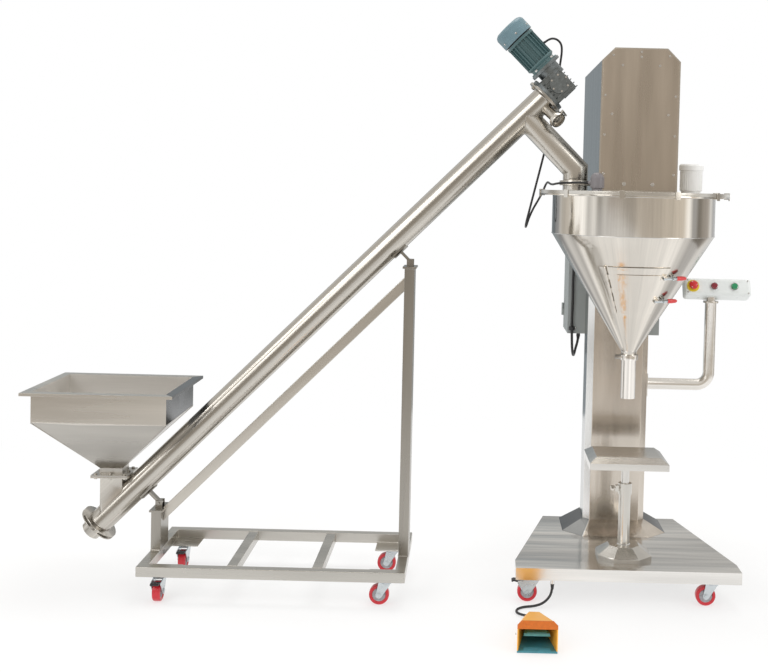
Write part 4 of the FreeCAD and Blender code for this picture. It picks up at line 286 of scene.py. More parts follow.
def brushed(name, colour, rough, lines, cloud=0.12, cloud_scale=2.6, bump=0.05, tilt=0.0,
            sway=0.0):
    """Stainless brushed along X, Y or Z (lines 0, 1 or 2), tilted about Y.

    'sway' is how far the sheet waves out of flat, in millimetres.
    """
    metal, tree, shader = blank(name, 1.0)
    where = node(tree, "TexCoord")
    turn = node(tree, "Mapping", {"Rotation": (0, math.radians(tilt), 0)})
    stretch = node(tree, "Mapping", {"Scale": [ALONG_HAIRS if i == lines else ACROSS_HAIRS
                                               for i in range(3)]})
    sweep = node(tree, "Mapping", {"Scale": [cloud_scale * (0.3 if i == lines else 3.0)
                                             for i in range(3)]})
    hair = node(tree, "TexNoise", {"Scale": 1.0, "Detail": 3})
    slow = node(tree, "TexNoise", {"Scale": 1.0, "Detail": 3})
    tone = node(tree, "Mix", shades(colour, cloud), data_type="RGBA")
    contrast = node(tree, "MapRange", {"From Min": 0.3, "From Max": 0.7})
    grey = node(tree, "MapRange", {"To Min": 0.92, "To Max": 1.08})
    both = node(tree, "VectorMath", operation="SCALE")
    gloss = node(tree, "MapRange", {"To Min": rough - 0.06, "To Max": rough + 0.06})
    relief = node(tree, "Bump", {"Strength": bump, "Distance": 0.0004})
    wire(tree, (where, "Object", turn, "Vector"), (turn, "Vector", stretch, "Vector"),
         (turn, "Vector", sweep, "Vector"), (stretch, "Vector", hair, "Vector"),
         (sweep, "Vector", slow, "Vector"), (slow, "Fac", contrast, "Value"),
         (contrast, "Result", tone, "Factor"), (hair, "Fac", grey, "Value"),
         (tone, "Result", both, 0), (grey, "Result", both, "Scale"),
         (both, "Vector", shader, "Base Color"), (contrast, "Result", gloss, "Value"),
         (gloss, "Result", shader, "Roughness"), (hair, "Fac", relief, "Height"),
         (relief, "Normal", shader, "Normal"))
    if sway:
        waves = node(tree, "Bump", {"Strength": 1.0, "Distance": sway / 1000})
        wire(tree, (slow, "Fac", waves, "Height"), (waves, "Normal", relief, "Normal"))
    return metal


def even_shading(piece, round_form=False):
    """Keep a piece's flats flat, or with 'round_form' shade its curved faces evenly."""
    flat = piece.modifiers.new("flat_faces", "WEIGHTED_NORMAL")
    flat.keep_sharp = True
    flat.mode = "CORNER_ANGLE" if round_form else "FACE_AREA"


def eased(solid, body, finishes, edge=1.2, steps=2, choose=None, round_form=False):
    """The solid's own shape, its sharp edges rounded by 'edge' millimetres.

    'choose' picks a finish for each face, from the place of the face's middle.
    """
    bm = bmesh.new()
    bm.from_mesh(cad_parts[solid].data)
    bmesh.ops.remove_doubles(bm, verts=bm.verts, dist=2e-6)
    mesh = bpy.data.meshes.new(solid + "_shape")
    bm.to_mesh(mesh)
    bm.free()
    for finish in finishes:
        mesh.materials.append(finish)
    for face in mesh.polygons:
        face.use_smooth = True
        if choose:
            face.material_index = choose(face.center * 1000 - Vector((AUGER_X, AUGER_Y, 0)))
    piece = shown(solid + "_dressed", mesh, body, [solid])
    soft = piece.modifiers.new("eased_edges", "BEVEL")
    soft.width = edge / 1000
    soft.segments = steps
    soft.limit_method = "ANGLE"
    soft.angle_limit = math.radians(28)
    soft.miter_outer = "MITER_ARC"
    even_shading(piece, round_form)


def folded(corners, radius, steps=4):
    """Outline in the XY plane with each corner bent to a radius, in millimetres."""
    points = []
    for i, corner in enumerate(corners):
        corner = Vector(corner)
        to_last = (Vector(corners[i - 1]) - corner).normalized()
        to_next = (Vector(corners[(i + 1) % len(corners)]) - corner).normalized()
        turn = math.pi - to_last.angle(to_next)
        cut = radius * math.tan(turn / 2)
        a, b = corner + to_last * cut, corner + to_next * cut
        for step in range(steps + 1):
            t = step / steps
            points.append(tuple(a.lerp(corner, t).lerp(corner.lerp(b, t), t)))
    return points


def join_rings(bm, near, far):
    """Smooth faces between two rings of equally many corners."""
    count = len(near)
    faces = [bm.faces.new((near[i], near[(i + 1) % count], far[(i + 1) % count], far[i]))
             for i in range(count)]
    for face in faces:
        face.smooth = True
    return faces


def walls(bm, low, low_z, high, high_z):
    """Skin between two outlines of equally many points; gives back its upper rim."""
    low = [bm.verts.new(place(x, y, low_z)) for x, y in low]
    high = [bm.verts.new(place(x, y, high_z)) for x, y in high]
    join_rings(bm, low, high)
    return high


def made(name, bm, finishes, body, stands_for=(), sharp=30.0):
    """Turn the collected faces into one object."""
    bmesh.ops.remove_doubles(bm, verts=bm.verts, dist=1e-7)
    bmesh.ops.recalc_face_normals(bm, faces=bm.faces)
    mesh = bpy.data.meshes.new(name + "_shape")
    bm.to_mesh(mesh)
    bm.free()
    for finish in finishes:
        mesh.materials.append(finish)
    mesh.set_sharp_from_angle(angle=math.radians(sharp))
    even_shading(shown(name, mesh, body, stands_for))


sheet_steel = brushed("brushed_stainless", (0.63, 0.575, 0.51), 0.20, lines=2, cloud=0.16,
                      sway=5.0)
# Darker, cooler steel for the left sides of the column and the head: painted shade.
shaded_side_steel = brushed("painted_shade_side_stainless", (0.40, 0.41, 0.41), 0.16, lines=2, cloud=0.1, sway=4.0)
# Near-black steel for the skirt's side facets and the feed hopper's right wall: painted shade.
painted_shade_steel = brushed("painted_shade_stainless", (0.15, 0.155, 0.16), 0.24, lines=0, cloud=0.25)
# Pale steel for the column's front-left bend: painted highlight.
highlit_bend_steel = brushed("painted_highlight_bend_stainless", (0.86, 0.86, 0.85), 0.22, lines=2, cloud=0.08)
pan_steel = brushed("pan_stainless", (0.66, 0.645, 0.62), 0.13, lines=0, cloud=0.36,
                    cloud_scale=1.6, sway=14.0)
eased("base_pan", STILL, [pan_steel], 2.0)
COLUMN_HALF = 135.0
COLUMN = [(-107, 338), (107, 338), (135, 366), (135, 498), (107, 526), (-107, 526),
          (-135, 498), (-135, 366)]
SKIRT = [(-145, 246), (145, 246), (227, 328), (227, 526), (-227, 526), (-227, 328)]
SKIRT_CROWN = [(-107, 338), (107, 338), (135, 366), (135, 526), (-135, 526), (-135, 366)]
SKIRT_FOOT, SKIRT_TOP, COLUMN_TOP = 156.4, 206, 1660
column = bmesh.new()
walls(column, folded(COLUMN, 5.0), SKIRT_TOP, folded(COLUMN, 5.0), COLUMN_TOP)
column.faces.new(walls(column, folded(SKIRT, 3.0), SKIRT_FOOT,
                       folded(SKIRT_CROWN, 3.0), SKIRT_TOP))
# The skirt's side facets and the column's left side get darker steels as painted shade, and the
# front-left bend a pale steel as painted highlight.
for face in column.faces:
    middle = face.calc_center_median() * 1000 - Vector((AUGER_X, AUGER_Y, 0))
    if middle.z < 200 and abs(middle.x) > 176:
        face.material_index = 1
    elif middle.x < -COLUMN_HALF + 0.1:
        face.material_index = 2
    elif middle.x < -112 and middle.y < 443.5:
        face.material_index = 3
made("column_dressed", column, [sheet_steel, painted_shade_steel, shaded_side_steel, highlit_bend_steel], STILL,
     ["column"], sharp=34)

# ---------------------------------------------------------------- casters
# Zinc-plated swivel casters, bolted on: pressed forks, moulded red tyres on pale
# grey hubs, axle nuts, and a black foot lever where the wheel has a brake.
X, Y, Z = Vector((1, 0, 0)), Vector((0, 1, 0)), Vector((0, 0, 1))


def facing(at, z_axis, y_axis=None):
    """Frame at a point in millimetres, with its Z along z_axis."""
    z_axis = Vector(z_axis).normalized()
    turn = z_axis.to_track_quat("Z", "Y").to_matrix()
    if y_axis is not None:
        y_axis = Vector(y_axis).normalized()
        turn = Matrix((y_axis.cross(z_axis), y_axis, z_axis)).transposed()
    return Matrix.Translation(place(*at)) @ turn.to_4x4()


def turned(bm, outline, where, finish=0, steps=40):
    """Add a turned piece: outline is a closed list of (radius, height), in mm."""
    rings = [[bm.verts.new(where @ ((spin * r + Z * h) / 1000)) for r, h in outline]
             for spin in spokes(steps)]
    count = len(outline)
    for step in range(steps):
        near, far = rings[step], rings[(step + 1) % steps]
        for i in range(count):
            j = (i + 1) % count
            if outline[i][0] < 1e-6 and outline[j][0] < 1e-6:
                continue
            face = bm.faces.new((near[i], far[i], far[j], near[j]))
            face.material_index = finish
            face.smooth = True


def prism(bm, corners, height, where, finish=0):
    """Add a straight piece on a flat outline of (x, y) corners, in mm."""
    low = [bm.verts.new(where @ (Vector((x, y, 0)) / 1000)) for x, y in corners]
    high = [bm.verts.new(where @ (Vector((x, y, height)) / 1000)) for x, y in corners]
    for face in [bm.faces.new(low[::-1]), bm.faces.new(high)] + join_rings(bm, low, high):
        face.material_index = finish
        face.smooth = True


def slab(bm, wide, deep, high, where, finish=0):
    """Add a block that stands on the middle of its own foot."""
    corners = [(-wide / 2, -deep / 2), (wide / 2, -deep / 2), (wide / 2, deep / 2),
               (-wide / 2, deep / 2)]
    prism(bm, corners, high, where, finish)


def hex_head(bm, across, high, where):
    """Hexagon head with its top corners turned down."""
    ring = [spoke.xy * (across / 2) for spoke in spokes(6)]
    prism(bm, ring, high * 0.8, where)
    lift = where @ Matrix.Translation((0, 0, high * 0.8 / 1000))
    prism(bm, [corner * 0.9 for corner in ring], high * 0.2, lift)


def middle_of(solid):
    """Middle and size of a solid's bounding box, in metres."""
    points = [Vector(v.co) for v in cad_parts[solid].data.vertices]
    low = Vector([min(p[i] for p in points) for i in range(3)])
    high = Vector([max(p[i] for p in points) for i in range(3)])
    return (low + high) / 2, high - low


zinc = painted("zinc_plating", (0.60, 0.64, 0.66), 0.30, metallic=1.0, grain=45, change=0.22,
               rough_change=0.14, bump=0.12, skin_scale=420)
red_tyre = painted("red_polyurethane", (0.58, 0.018, 0.03), 0.30, grain=70, change=0.16,
                   bump=0.06, coat=0.25)
grey_hub = painted("pale_grey_nylon", (0.40, 0.40, 0.42), 0.42, grain=90, change=0.12,
                   bump=0.10)
# Black nylon of the brake levers, also the screws' cross recesses as painted shade.
black_lever_and_recess_shade = painted("black_nylon_and_painted_shade", (0.020, 0.020, 0.022), 0.40, grain=80, change=0.3,
                      bump=0.2)

eased("caster_plates", STILL, [zinc], 0.8)
# name, swivel axis from the auger's axis, and whether it has a brake
CASTERS = [("filler_front_left", -374, -120, True), ("filler_front_right", 346, -120, False),
           ("filler_rear_left", -234, 480, False), ("filler_rear_right", 206, 480, False),
           ("trolley_front_left", -1862, -196, True), ("trolley_rear_left", -1862, 196, True),
           ("trolley_front_right", -965, -196, False), ("trolley_rear_right", -965, 196, False)]
PLATE_TOP = 104
BOLT_X, BOLT_Y = 38, 31
TYRE = [(26, -12), (28, -15), (30, -16), (35.5, -16), (38.4, -14.6), (39.7, -12), (40, -9),
        (40, 9), (39.7, 12), (38.4, 14.6), (35.5, 16), (30, 16), (28, 15), (26, 12)]
TYRE_LIP = [(31.2, -16.5), (33.4, -16.5), (33.4, 16.5), (31.2, 16.5)]
HUB = [(6.4, -17), (11, -17), (11.6, -16), (12, -11), (23, -10.4), (26.4, -12.6), (26.4, 12.6),
       (23, 10.4), (12, 11), (11.6, 16), (11, 17), (6.4, 17)]
WASHER = [(6.2, 0), (11, 0), (11, 1.2), (6.2, 1.2)]
plate_bolts = bmesh.new()
for name, x, y, braked in CASTERS:
    for dx in (-BOLT_X, BOLT_X):
        for dy in (-BOLT_Y, BOLT_Y):
            hex_head(plate_bolts, 14.5, 5, facing((x + dx, y + dy, PLATE_TOP), -Z))
    eased(name + "_fork", name + "_fork", [zinc], 0.9)
    hub, size = middle_of(name + "_wheel")
    axle = X if size.x < size.y else Y
    where = Matrix.Translation(hub) @ facing((0, 0, 0), axle).to_3x3().to_4x4()
    tyre = bmesh.new()
    turned(tyre, TYRE, where, 0, 64)
    turned(tyre, TYRE_LIP, where, 0, 64)
    turned(tyre, HUB, where, 1, 48)
    for spoke in range(6):
        out_way = where @ Matrix.Rotation(math.tau * spoke / 6, 4, "Z")
        slab(tyre, 13, 2.4, 27, out_way @ Matrix.Translation((0.0175, 0, -0.0135)), 1)
    made(name + "_tyre", tyre, [red_tyre, grey_hub], name + "_wheel",
         [name + "_wheel"])
    nuts = bmesh.new()
    for side in (-1, 1):
        end = where @ Matrix.Translation((0, 0, side * 0.021))
        if side < 0:
            end = end @ Matrix.Rotation(math.pi, 4, "X")
        turned(nuts, WASHER, end, 0, 32)
        hex_head(nuts, 18, 3.9, end)
    made(name + "_axle_nuts", nuts, [zinc], name + "_fork")
    if braked:
        eased(name + "_brake", name + "_brake", [black_lever_and_recess_shade], 1.0)
made("caster_plate_bolts", plate_bolts, [zinc], STILL)

# ---------------------------------------------------------------- head
# Folded stainless housing over the auger's drive, with cut upper corners. Its front
# is a separate sheet held by small hexagon screws and two larger ones at the bottom.
bright_screw = painted("bright_screw_steel", (0.66, 0.65, 0.63), 0.20, metallic=1.0, grain=120,
                       change=0.15)
head_steel = brushed("head_stainless", (0.60, 0.555, 0.49), 0.30, lines=2, cloud=0.1)
panel_steel = brushed("panel_stainless", (0.545, 0.48, 0.405), 0.30, lines=2, cloud=0.16,
                      cloud_scale=3.4, sway=2.5)
HEAD_SIDE_X, PANEL_FACE_Y = -134, -122.2
# The housing's left side takes the darker side steel: painted shade.
eased("head_housing", STILL, [head_steel, shaded_side_steel], 2.0,
      choose=lambda p: 1 if p.x < HEAD_SIDE_X else 0)
eased("head_front_panel", STILL, [panel_steel, bright_screw], 0.5,
      choose=lambda p: 1 if p.y < PANEL_FACE_Y else 0)

# ---------------------------------------------------------------- powder hopper
# Spun and rolled stainless, polished outside: an upright rim part with its flange,
# and the cone below, butt-welded to it and ground down to a fine bead.


def ripple_ring(bm, radius, z, width, steps=180):
    """Weld bead round the auger's axis."""
    rings = []
    for step, spin in enumerate(spokes(steps)):
        r = width / 2 * (1 + 0.18 * math.sin(step * 2.1))
        rings.append([bm.verts.new(place(*(spin * (radius + dot.x * r * 0.6)
                                            + Z * (z + dot.y * r)))) for dot in spokes(6)])
    for near, far in zip(rings, rings[1:] + rings[:1]):
        join_rings(bm, far, near)


def polished(name, colour, rough, wave=0.0, wave_scale=9.0, painted_reflections=(), axis=(0, 0, 0), tilt=0.0):
    """Stainless polished round an axis that passes a point and may tilt about Y.

    The bands of brightness round the axis are painted reflections and highlights, each given as
    (part of a turn from the left, brightness).
    """
    metal, tree, shader = blank(name, 1.0)
    upright = Matrix.Rotation(math.radians(tilt), 3, "Y")
    where = node(tree, "TexCoord")
    centre = node(tree, "Mapping", {"Rotation": (0, math.radians(tilt), 0),
                                    "Location": -(upright @ place(*axis))})
    round_it = node(tree, "TexGradient", gradient_type="RADIAL")
    reflection_ramp = node(tree, "ValToRGB")
    fill_ramp(reflection_ramp.color_ramp, [(stop, [value * c for c in colour]) for stop, value in painted_reflections])
    angle = node(tree, "CombineXYZ")
    split = node(tree, "SeparateXYZ")
    squeeze = node(tree, "Math", operation="MULTIPLY")
    squeeze.inputs[1].default_value = 60.0
    fine = node(tree, "TexNoise", {"Scale": 4.0, "Detail": 5})
    shade = node(tree, "MapRange", {"To Min": 0.84, "To Max": 1.12})
    both = node(tree, "VectorMath", operation="SCALE")
    cloud = node(tree, "TexNoise", {"Scale": wave_scale, "Detail": 2})
    gloss = node(tree, "MapRange", {"To Min": rough * 0.7, "To Max": rough * 1.35})
    relief = node(tree, "Bump", {"Strength": 0.25 + wave, "Distance": 0.0008 + 0.004 * wave})
    wire(tree, (where, "Object", centre, "Vector"), (centre, "Vector", round_it, "Vector"),
         (round_it, "Fac", reflection_ramp, "Fac"), (centre, "Vector", split, 0),
         (round_it, "Fac", squeeze, 0), (squeeze, 0, angle, "X"), (split, "Z", angle, "Z"),
         (angle, 0, fine, "Vector"), (fine, "Fac", shade, "Value"), (reflection_ramp, "Color", both, 0),
         (shade, "Result", both, "Scale"), (both, "Vector", shader, "Base Color"),
         (where, "Object", cloud, "Vector"), (cloud, "Fac", gloss, "Value"),
         (gloss, "Result", shader, "Roughness"), (cloud, "Fac", relief, "Height"),
         (relief, "Normal", shader, "Normal"))
    return metal


# Painted reflections and highlights on the hopper's rim part and cone, by part of a turn round the
# auger's axis from the left.
RIM_REFLECTIONS = [(0, 0.60), (0.019, 0.25), (0.049, 0.33), (0.07, 1.45), (0.129, 1.45), (0.142, 0.80),
             (0.153, 1.05), (0.165, 0.63), (0.176, 0.82), (0.186, 0.82), (0.197, 0.90),
             (0.207, 0.94), (0.228, 0.87), (0.238, 1.16), (0.249, 1.13), (0.27, 1.14),
             (0.28, 1.17), (0.291, 1.30), (0.303, 1.23), (0.314, 1.43), (0.34, 1.45),
             (0.354, 0.51), (0.369, 0.72), (0.386, 1.08), (0.407, 1.21), (0.437, 0.25),
             (0.5, 0.60), (0.62, 0.95), (0.8, 0.85), (1, 0.60)]
CONE_REFLECTIONS = [(0, 0.55), (0.023, 0.92), (0.057, 0.25), (0.08, 0.74), (0.1, 0.58), (0.117, 1.14),
             (0.133, 1.00), (0.148, 0.82), (0.163, 0.95), (0.176, 0.95), (0.189, 0.93),
             (0.202, 1.01), (0.215, 0.92), (0.228, 0.90), (0.241, 0.88), (0.254, 0.90),
             (0.267, 0.97), (0.28, 0.98), (0.293, 1.00), (0.308, 1.11), (0.323, 1.08),
             (0.339, 0.77), (0.356, 0.54), (0.376, 0.54), (0.399, 0.88), (0.433, 0.68),
             (0.5, 0.60), (0.62, 0.95), (0.8, 0.85), (1, 0.55)]
hopper_metal = polished("hopper_painted_reflections", (0.66, 0.625, 0.57), 0.12, painted_reflections=RIM_REFLECTIONS)
cone_metal = polished("cone_painted_reflections", (0.73, 0.69, 0.63), 0.16, painted_reflections=CONE_REFLECTIONS)
eased("powder_hopper", STILL, [hopper_metal], 0.9, round_form=True)
eased("hopper_cone", STILL, [cone_metal], 0.9, round_form=True)
CONE_TOP_Z, FLANGE_Z, NECK_Z = 1485, 1639.4, 1005
seams = bmesh.new()
ripple_ring(seams, 330.4, CONE_TOP_Z, 3.0)
ripple_ring(seams, 330.6, FLANGE_Z, 2.4)
ripple_ring(seams, 32.6, NECK_Z, 2.6, steps=60)
made("hopper_seams", seams, [bright_screw], STILL)

# ---------------------------------------------------------------- lid
# Flat stainless lid on the hopper's flange, over a thin dark seal, with folded
# clips round its edge and the stub that takes the chute.
nozzle_metal = brushed("drawn_nozzle_tube", (0.66, 0.63, 0.58), 0.20, lines=2, cloud=0.1,
                       bump=0.01)
lid_metal = brushed("lid_stainless", (0.62, 0.60, 0.56), 0.26, lines=0, cloud=0.12)
LID_EDGE = 385.2
eased("hopper_lid", STILL, [lid_metal, nozzle_metal], 1.0,
      choose=lambda p: 1 if Vector((p.x, p.y)).length > LID_EDGE else 0)
black_seal = painted("black_lid_seal", (0.03, 0.03, 0.03), 0.55, grain=40, change=0.3, bump=0.2)
SEAL_EDGE, SEAL_INSIDE = 384.2, 0.985
SEAL_Z = (1645.2, 1646.8)
CHORD_Y = 329.2
half = math.degrees(math.acos(CHORD_Y / SEAL_EDGE))
arc = [math.radians(90 + half + (360 - 2 * half) * i / 120) for i in range(121)]
outer = [(math.cos(a) * SEAL_EDGE, math.sin(a) * SEAL_EDGE) for a in arc]
seal = bmesh.new()
for (x0, y0), (x1, y1) in zip(outer, outer[1:]):
    quad = [(x0, y0), (x1, y1), (x1 * SEAL_INSIDE, y1 * SEAL_INSIDE),
            (x0 * SEAL_INSIDE, y0 * SEAL_INSIDE)]
    corners = [[seal.verts.new(place(x, y, z)) for x, y in quad] for z in SEAL_Z]
    for i in range(4):
        j = (i + 1) % 4
        seal.faces.new((corners[0][i], corners[0][j], corners[1][j], corners[1][i]))
made("lid_seal", seal, [black_seal], STILL)

# ---------------------------------------------------------------- hopper door
# Curved sheet with a raised field, hung on a long hinge at its left and held by two
# zinc-plated lever latches at its right. The levers end in red moulded grips.
# The door takes the cone's painted reflections and highlights.
door_metal = polished("door_painted_reflections", (0.74, 0.70, 0.64), 0.20, wave=0.5, wave_scale=26,
                      painted_reflections=CONE_REFLECTIONS)
eased("hopper_door", "hopper_door", [door_metal], 0.7)
red_grip = painted("red_latch_grip", (0.66, 0.05, 0.05), 0.35, grain=90, change=0.15, bump=0.1,
                   coat=0.2)
TANGENT = Vector((0.9063, 0.4226, 0.0))     # along a lever, from its pin to its grip
GRIP_FROM = 52.5
LATCHES = [("upper_door_latch", Vector((99.155, -212.638, 1329.47))),
           ("lower_door_latch", Vector((74.229, -159.185, 1234.47)))]
for name, root in LATCHES:
    eased(name, name, [zinc, red_grip], 0.7,
          choose=lambda p, root=root: 1 if (p - root).dot(TANGENT) > GRIP_FROM else 0)

# ---------------------------------------------------------------- nozzle, auger and agitator
# Plain drawn tube under the cone, held by a clamp ring with a wing bolt. The auger
# and the agitator inside it are welded from bar and sheet, left as machined.
machined = brushed("machined_stainless", (0.55, 0.54, 0.51), 0.28, lines=0, cloud=0.15)
# Painted reflections round the nozzle: dark edges and bright highlights by part of a turn.
NOZZLE_REFLECTIONS = [(0.0, 0.35), (0.05, 0.55), (0.09, 1.15), (0.13, 0.85), (0.17, 1.25),
                (0.205, 1.05), (0.225, 0.95), (0.26, 1.35), (0.30, 1.10), (0.335, 1.25),
                (0.38, 1.20), (0.43, 0.6), (0.5, 0.4), (0.75, 0.9), (1.0, 0.35)]
tube_polish = polished("nozzle_painted_reflections", (0.74, 0.71, 0.67), 0.18, painted_reflections=NOZZLE_REFLECTIONS)
eased("nozzle_tube", STILL, [tube_polish], 0.8, round_form=True)
eased("auger", "auger", [machined], 0.5)
eased("agitator", "agitator", [machined], 0.6)

# ---------------------------------------------------------------- table and its stand
# Pressed table with sloping edges on a rod that slides in the stand's tube. The
# foot is pressed and welded to the pan; a wing knob clamps the rod.
table_metal = brushed("table_stainless", (0.70, 0.685, 0.655), 0.24, lines=0, cloud=0.16)
stand_metal = brushed("stand_tube_stainless", (0.62, 0.60, 0.56), 0.24, lines=2, cloud=0.14,
                      bump=0.01)
eased("product_table", "product_table", [table_metal], 1.6)
eased("table_stand", STILL, [stand_metal], 1.4)
eased("stand_clamp_knob", "stand_clamp_knob", [nozzle_metal], 1.2)
foot_bead = bmesh.new()
turned(foot_bead, [(24.2, 205), (27.4, 205), (26.4, 206.6), (24.2, 208)],
       facing((0, 0, 0), Z), 0, 60)
made("stand_foot_bead", foot_bead, [bright_screw], STILL)

# ---------------------------------------------------------------- control arm and button box
# Bent stainless tube from the column's side; on it turns the white enamelled box
# with a mushroom stop on a yellow ring, a dark red stop and a green start button.
arm_metal = brushed("arm_stainless", (0.76, 0.73, 0.685), 0.22, lines=0, cloud=0.12, bump=0.01)
eased("control_arm", STILL, [arm_metal], 1.0, round_form=True)
white_enamel = painted("white_enamel", (0.80, 0.83, 0.82), 0.30, grain=30, change=0.04, bump=0.10,
                       skin_scale=260)
yellow_ring = painted("yellow_nylon", (0.80, 0.62, 0.04), 0.38, grain=80, change=0.1, bump=0.08)
chrome = painted("chromed_bezel", (0.72, 0.72, 0.72), 0.14, metallic=1.0, grain=90, change=0.12)
red_gloss = painted("red_mushroom_cap", (0.62, 0.02, 0.025), 0.22, grain=60, change=0.12,
                    coat=0.3, bump=0.04)
dark_red = painted("dark_red_cap", (0.22, 0.008, 0.02), 0.25, grain=60, change=0.2, coat=0.3,
                   bump=0.04)
green_gloss = painted("green_cap", (0.01, 0.26, 0.10), 0.25, grain=60, change=0.2, coat=0.3,
                      bump=0.04)
BOX_TILT = math.radians(25)
BOX_NORMAL = Vector((0, -math.cos(BOX_TILT), math.sin(BOX_TILT)))
BOX_UP = Vector((0, math.sin(BOX_TILT), math.cos(BOX_TILT)))
BOX_MIDDLE = Vector((444.5, 430, 1234))
BOX_FRONT, BOX_FOOT = 33, -42
ESTOP_X, STOP_X, START_X = -112, -18, 72
RING_RADIUS, BEZEL_RADIUS = 29, 12


def box_face(across, up=0.0):
    """Point on the box's face, from the face's middle."""
    return BOX_MIDDLE + X * across + BOX_UP * up + BOX_NORMAL * BOX_FRONT


def box_finish(p):
    """Yellow disc, bright rings and the swivel's stainless foot on a white box."""
    out = (p - BOX_MIDDLE).dot(BOX_NORMAL)
    across = p.x - BOX_MIDDLE.x
    up = (p - BOX_MIDDLE).dot(BOX_UP)
    proud = out > BOX_FRONT + 0.05
    if proud and math.hypot(across - ESTOP_X, up) < RING_RADIUS:
        return 1
    if proud or (out > 0 and math.hypot(across - START_X, up) < BEZEL_RADIUS):
        return 2
    return 3 if up < BOX_FOOT else 0


def cross_screw(bm, across, high, where):
    """Round-headed screw, its cross recess a thin raised cross in the second finish, given black by
    the callers as painted shade.
    """
    r = across / 2
    turned(bm, [(0, 0), (r, 0), (r, high * 0.45), (r * 0.8, high * 0.8), (r * 0.35, high),
                (0, high)], where, 0, 20)
    lift = where @ Matrix.Translation((0, 0, high * 0.93 / 1000))
    slab(bm, r * 1.1, r * 0.26, high * 0.12, lift, 1)
    slab(bm, r * 0.26, r * 1.1, high * 0.125, lift, 1)


eased("button_box", "button_box", [white_enamel, yellow_ring, chrome, arm_metal],
      1.2, choose=box_finish)
screws = bmesh.new()
SCREW_X, SCREW_UP = 134, 29
for across in (-SCREW_X, SCREW_X):
    for up in (-SCREW_UP, SCREW_UP):
        cross_screw(screws, 8, 2.2, facing(box_face(across, up), BOX_NORMAL, BOX_UP))
made("box_screws", screws, [bright_screw, black_lever_and_recess_shade], "button_box")

MUSHROOM = [(0, -22), (11, -22), (11, 10), (13, 10.2), (17.5, 11.4), (19.6, 14), (20, 17),
            (19.2, 20), (17, 22.6), (13, 24.6), (8, 25.7), (0, 26)]
ARROW = [(11, -1), (15, -1), (15, -2.6), (17.6, 0), (15, 2.6), (15, 1), (11, 1)]
PUSH_CAP = [(0, -22), (11, -22), (11, 4.5), (15.2, 4.5), (15.2, 10.4), (14.4, 12), (13, 12.9),
            (10, 13.4), (0, 13.5)]
PUSH_RIM = [(12.6, 12.9), (13.1, 12.9), (13.1, 13.25), (12.6, 13.4)]
cap = bmesh.new()
at = facing(box_face(ESTOP_X), BOX_NORMAL, BOX_UP)
turned(cap, MUSHROOM, at, 0, 56)
for arrow in range(3):
    turn = at @ Matrix.Rotation(math.tau * arrow / 3, 4, "Z")
    prism(cap, ARROW, 0.5, turn @ Matrix.Translation((0, 0, 0.0238)), 1)
made("estop_cap", cap, [red_gloss, white_enamel], "estop_button", ["estop_button"])
for name, across, finish, slot in (("stop_button", STOP_X, dark_red, "stop_red"),
                                   ("start_button", START_X, green_gloss, "start_green")):
    cap = bmesh.new()
    at = facing(box_face(across), BOX_NORMAL, BOX_UP)
    turned(cap, PUSH_CAP, at, 0, 48)
    turned(cap, PUSH_RIM, at, 1, 48)
    made(name + "_cap", cap, [finish, chrome], name, [name])

# ---------------------------------------------------------------- drive cabinet
# Grey powder-coated steel cabinet behind the column, its door to the rear on lift-off
# hinges with two quarter-turn locks. The lead runs down its front in a black clip.
grey_powder = painted("grey_powder_coat", (0.33, 0.355, 0.35), 0.42, grain=24, change=0.05,
                      bump=0.28, skin_scale=700)
# Black plastic of the clip, glands and locks, also the motor cowl's step, slots, end rings and
# screw recesses as painted shade.
black_plastic_and_painted_shade = painted("black_plastic_and_painted_shade", (0.025, 0.025, 0.027), 0.42, grain=70, change=0.3,
                        bump=0.15)
CABINET_FACE_Y, CABINET_BACK_Y, CABINET_FOOT_Z = 543.8, 794.2, 1004.8
CLIP_X, CLIP_Z = -170, 1045


def clip_or_gland(p):
    """Black clip on the cabinet's front, and black glands under it."""
    clip = p.y < CABINET_FACE_Y and p.z < CLIP_Z and p.x < CLIP_X
    return 1 if clip or p.z < CABINET_FOOT_Z else 0


eased("cabinet_body", STILL, [grey_powder, black_plastic_and_painted_shade], 1.4,
      choose=clip_or_gland)
eased("cabinet_door", "cabinet_door", [grey_powder, black_plastic_and_painted_shade], 1.4,
      choose=lambda p: 1 if p.y > CABINET_BACK_Y else 0)
clip_screw = bmesh.new()
cross_screw(clip_screw, 7, 2.5, facing((-173.5, CABINET_FACE_Y, 1030), -Y))
made("clip_screw", clip_screw, [bright_screw, black_lever_and_recess_shade], STILL)

# ---------------------------------------------------------------- foot pedal
# Cast and painted guard over a ribbed treadle. The guard's brow is a darker orange, painted shade
# on its front lip, and the base plate stands on the floor.
orange_paint = painted("orange_enamel", (0.94, 0.44, 0.05), 0.40, grain=22, change=0.08,
                       bump=0.22, skin_scale=330)
# Darker orange for the guard's brow: painted shade on its front lip.
shaded_brow_orange = painted("painted_shade_orange_enamel", (0.62, 0.14, 0.004), 0.38, grain=90, change=0.25,
                      bump=0.3, skin_scale=300)
teal_rubber = painted("teal_treadle", (0.15, 0.48, 0.50), 0.42, grain=60, change=0.3, bump=0.3)
dark_base = painted("dark_pedal_base", (0.06, 0.25, 0.30), 0.5, grain=60, change=0.3, bump=0.4)
PEDAL_X, PEDAL_HALF = -386, 72.7
BROW_Y, BROW_Z = -644.6, 84
eased("pedal_housing", STILL, [orange_paint, shaded_brow_orange], 2.2, 3,
      choose=lambda p: 1 if p.y < BROW_Y and p.z > BROW_Z else 0)
eased("pedal_base", STILL, [dark_base], 1.0)
eased("pedal_treadle", "pedal_treadle", [teal_rubber], 1.0)
side_screws = bmesh.new()
for side in (-1, 1):
    cross_screw(side_screws, 11, 2.6,
                facing((PEDAL_X + side * PEDAL_HALF, -560, 34), X * side))
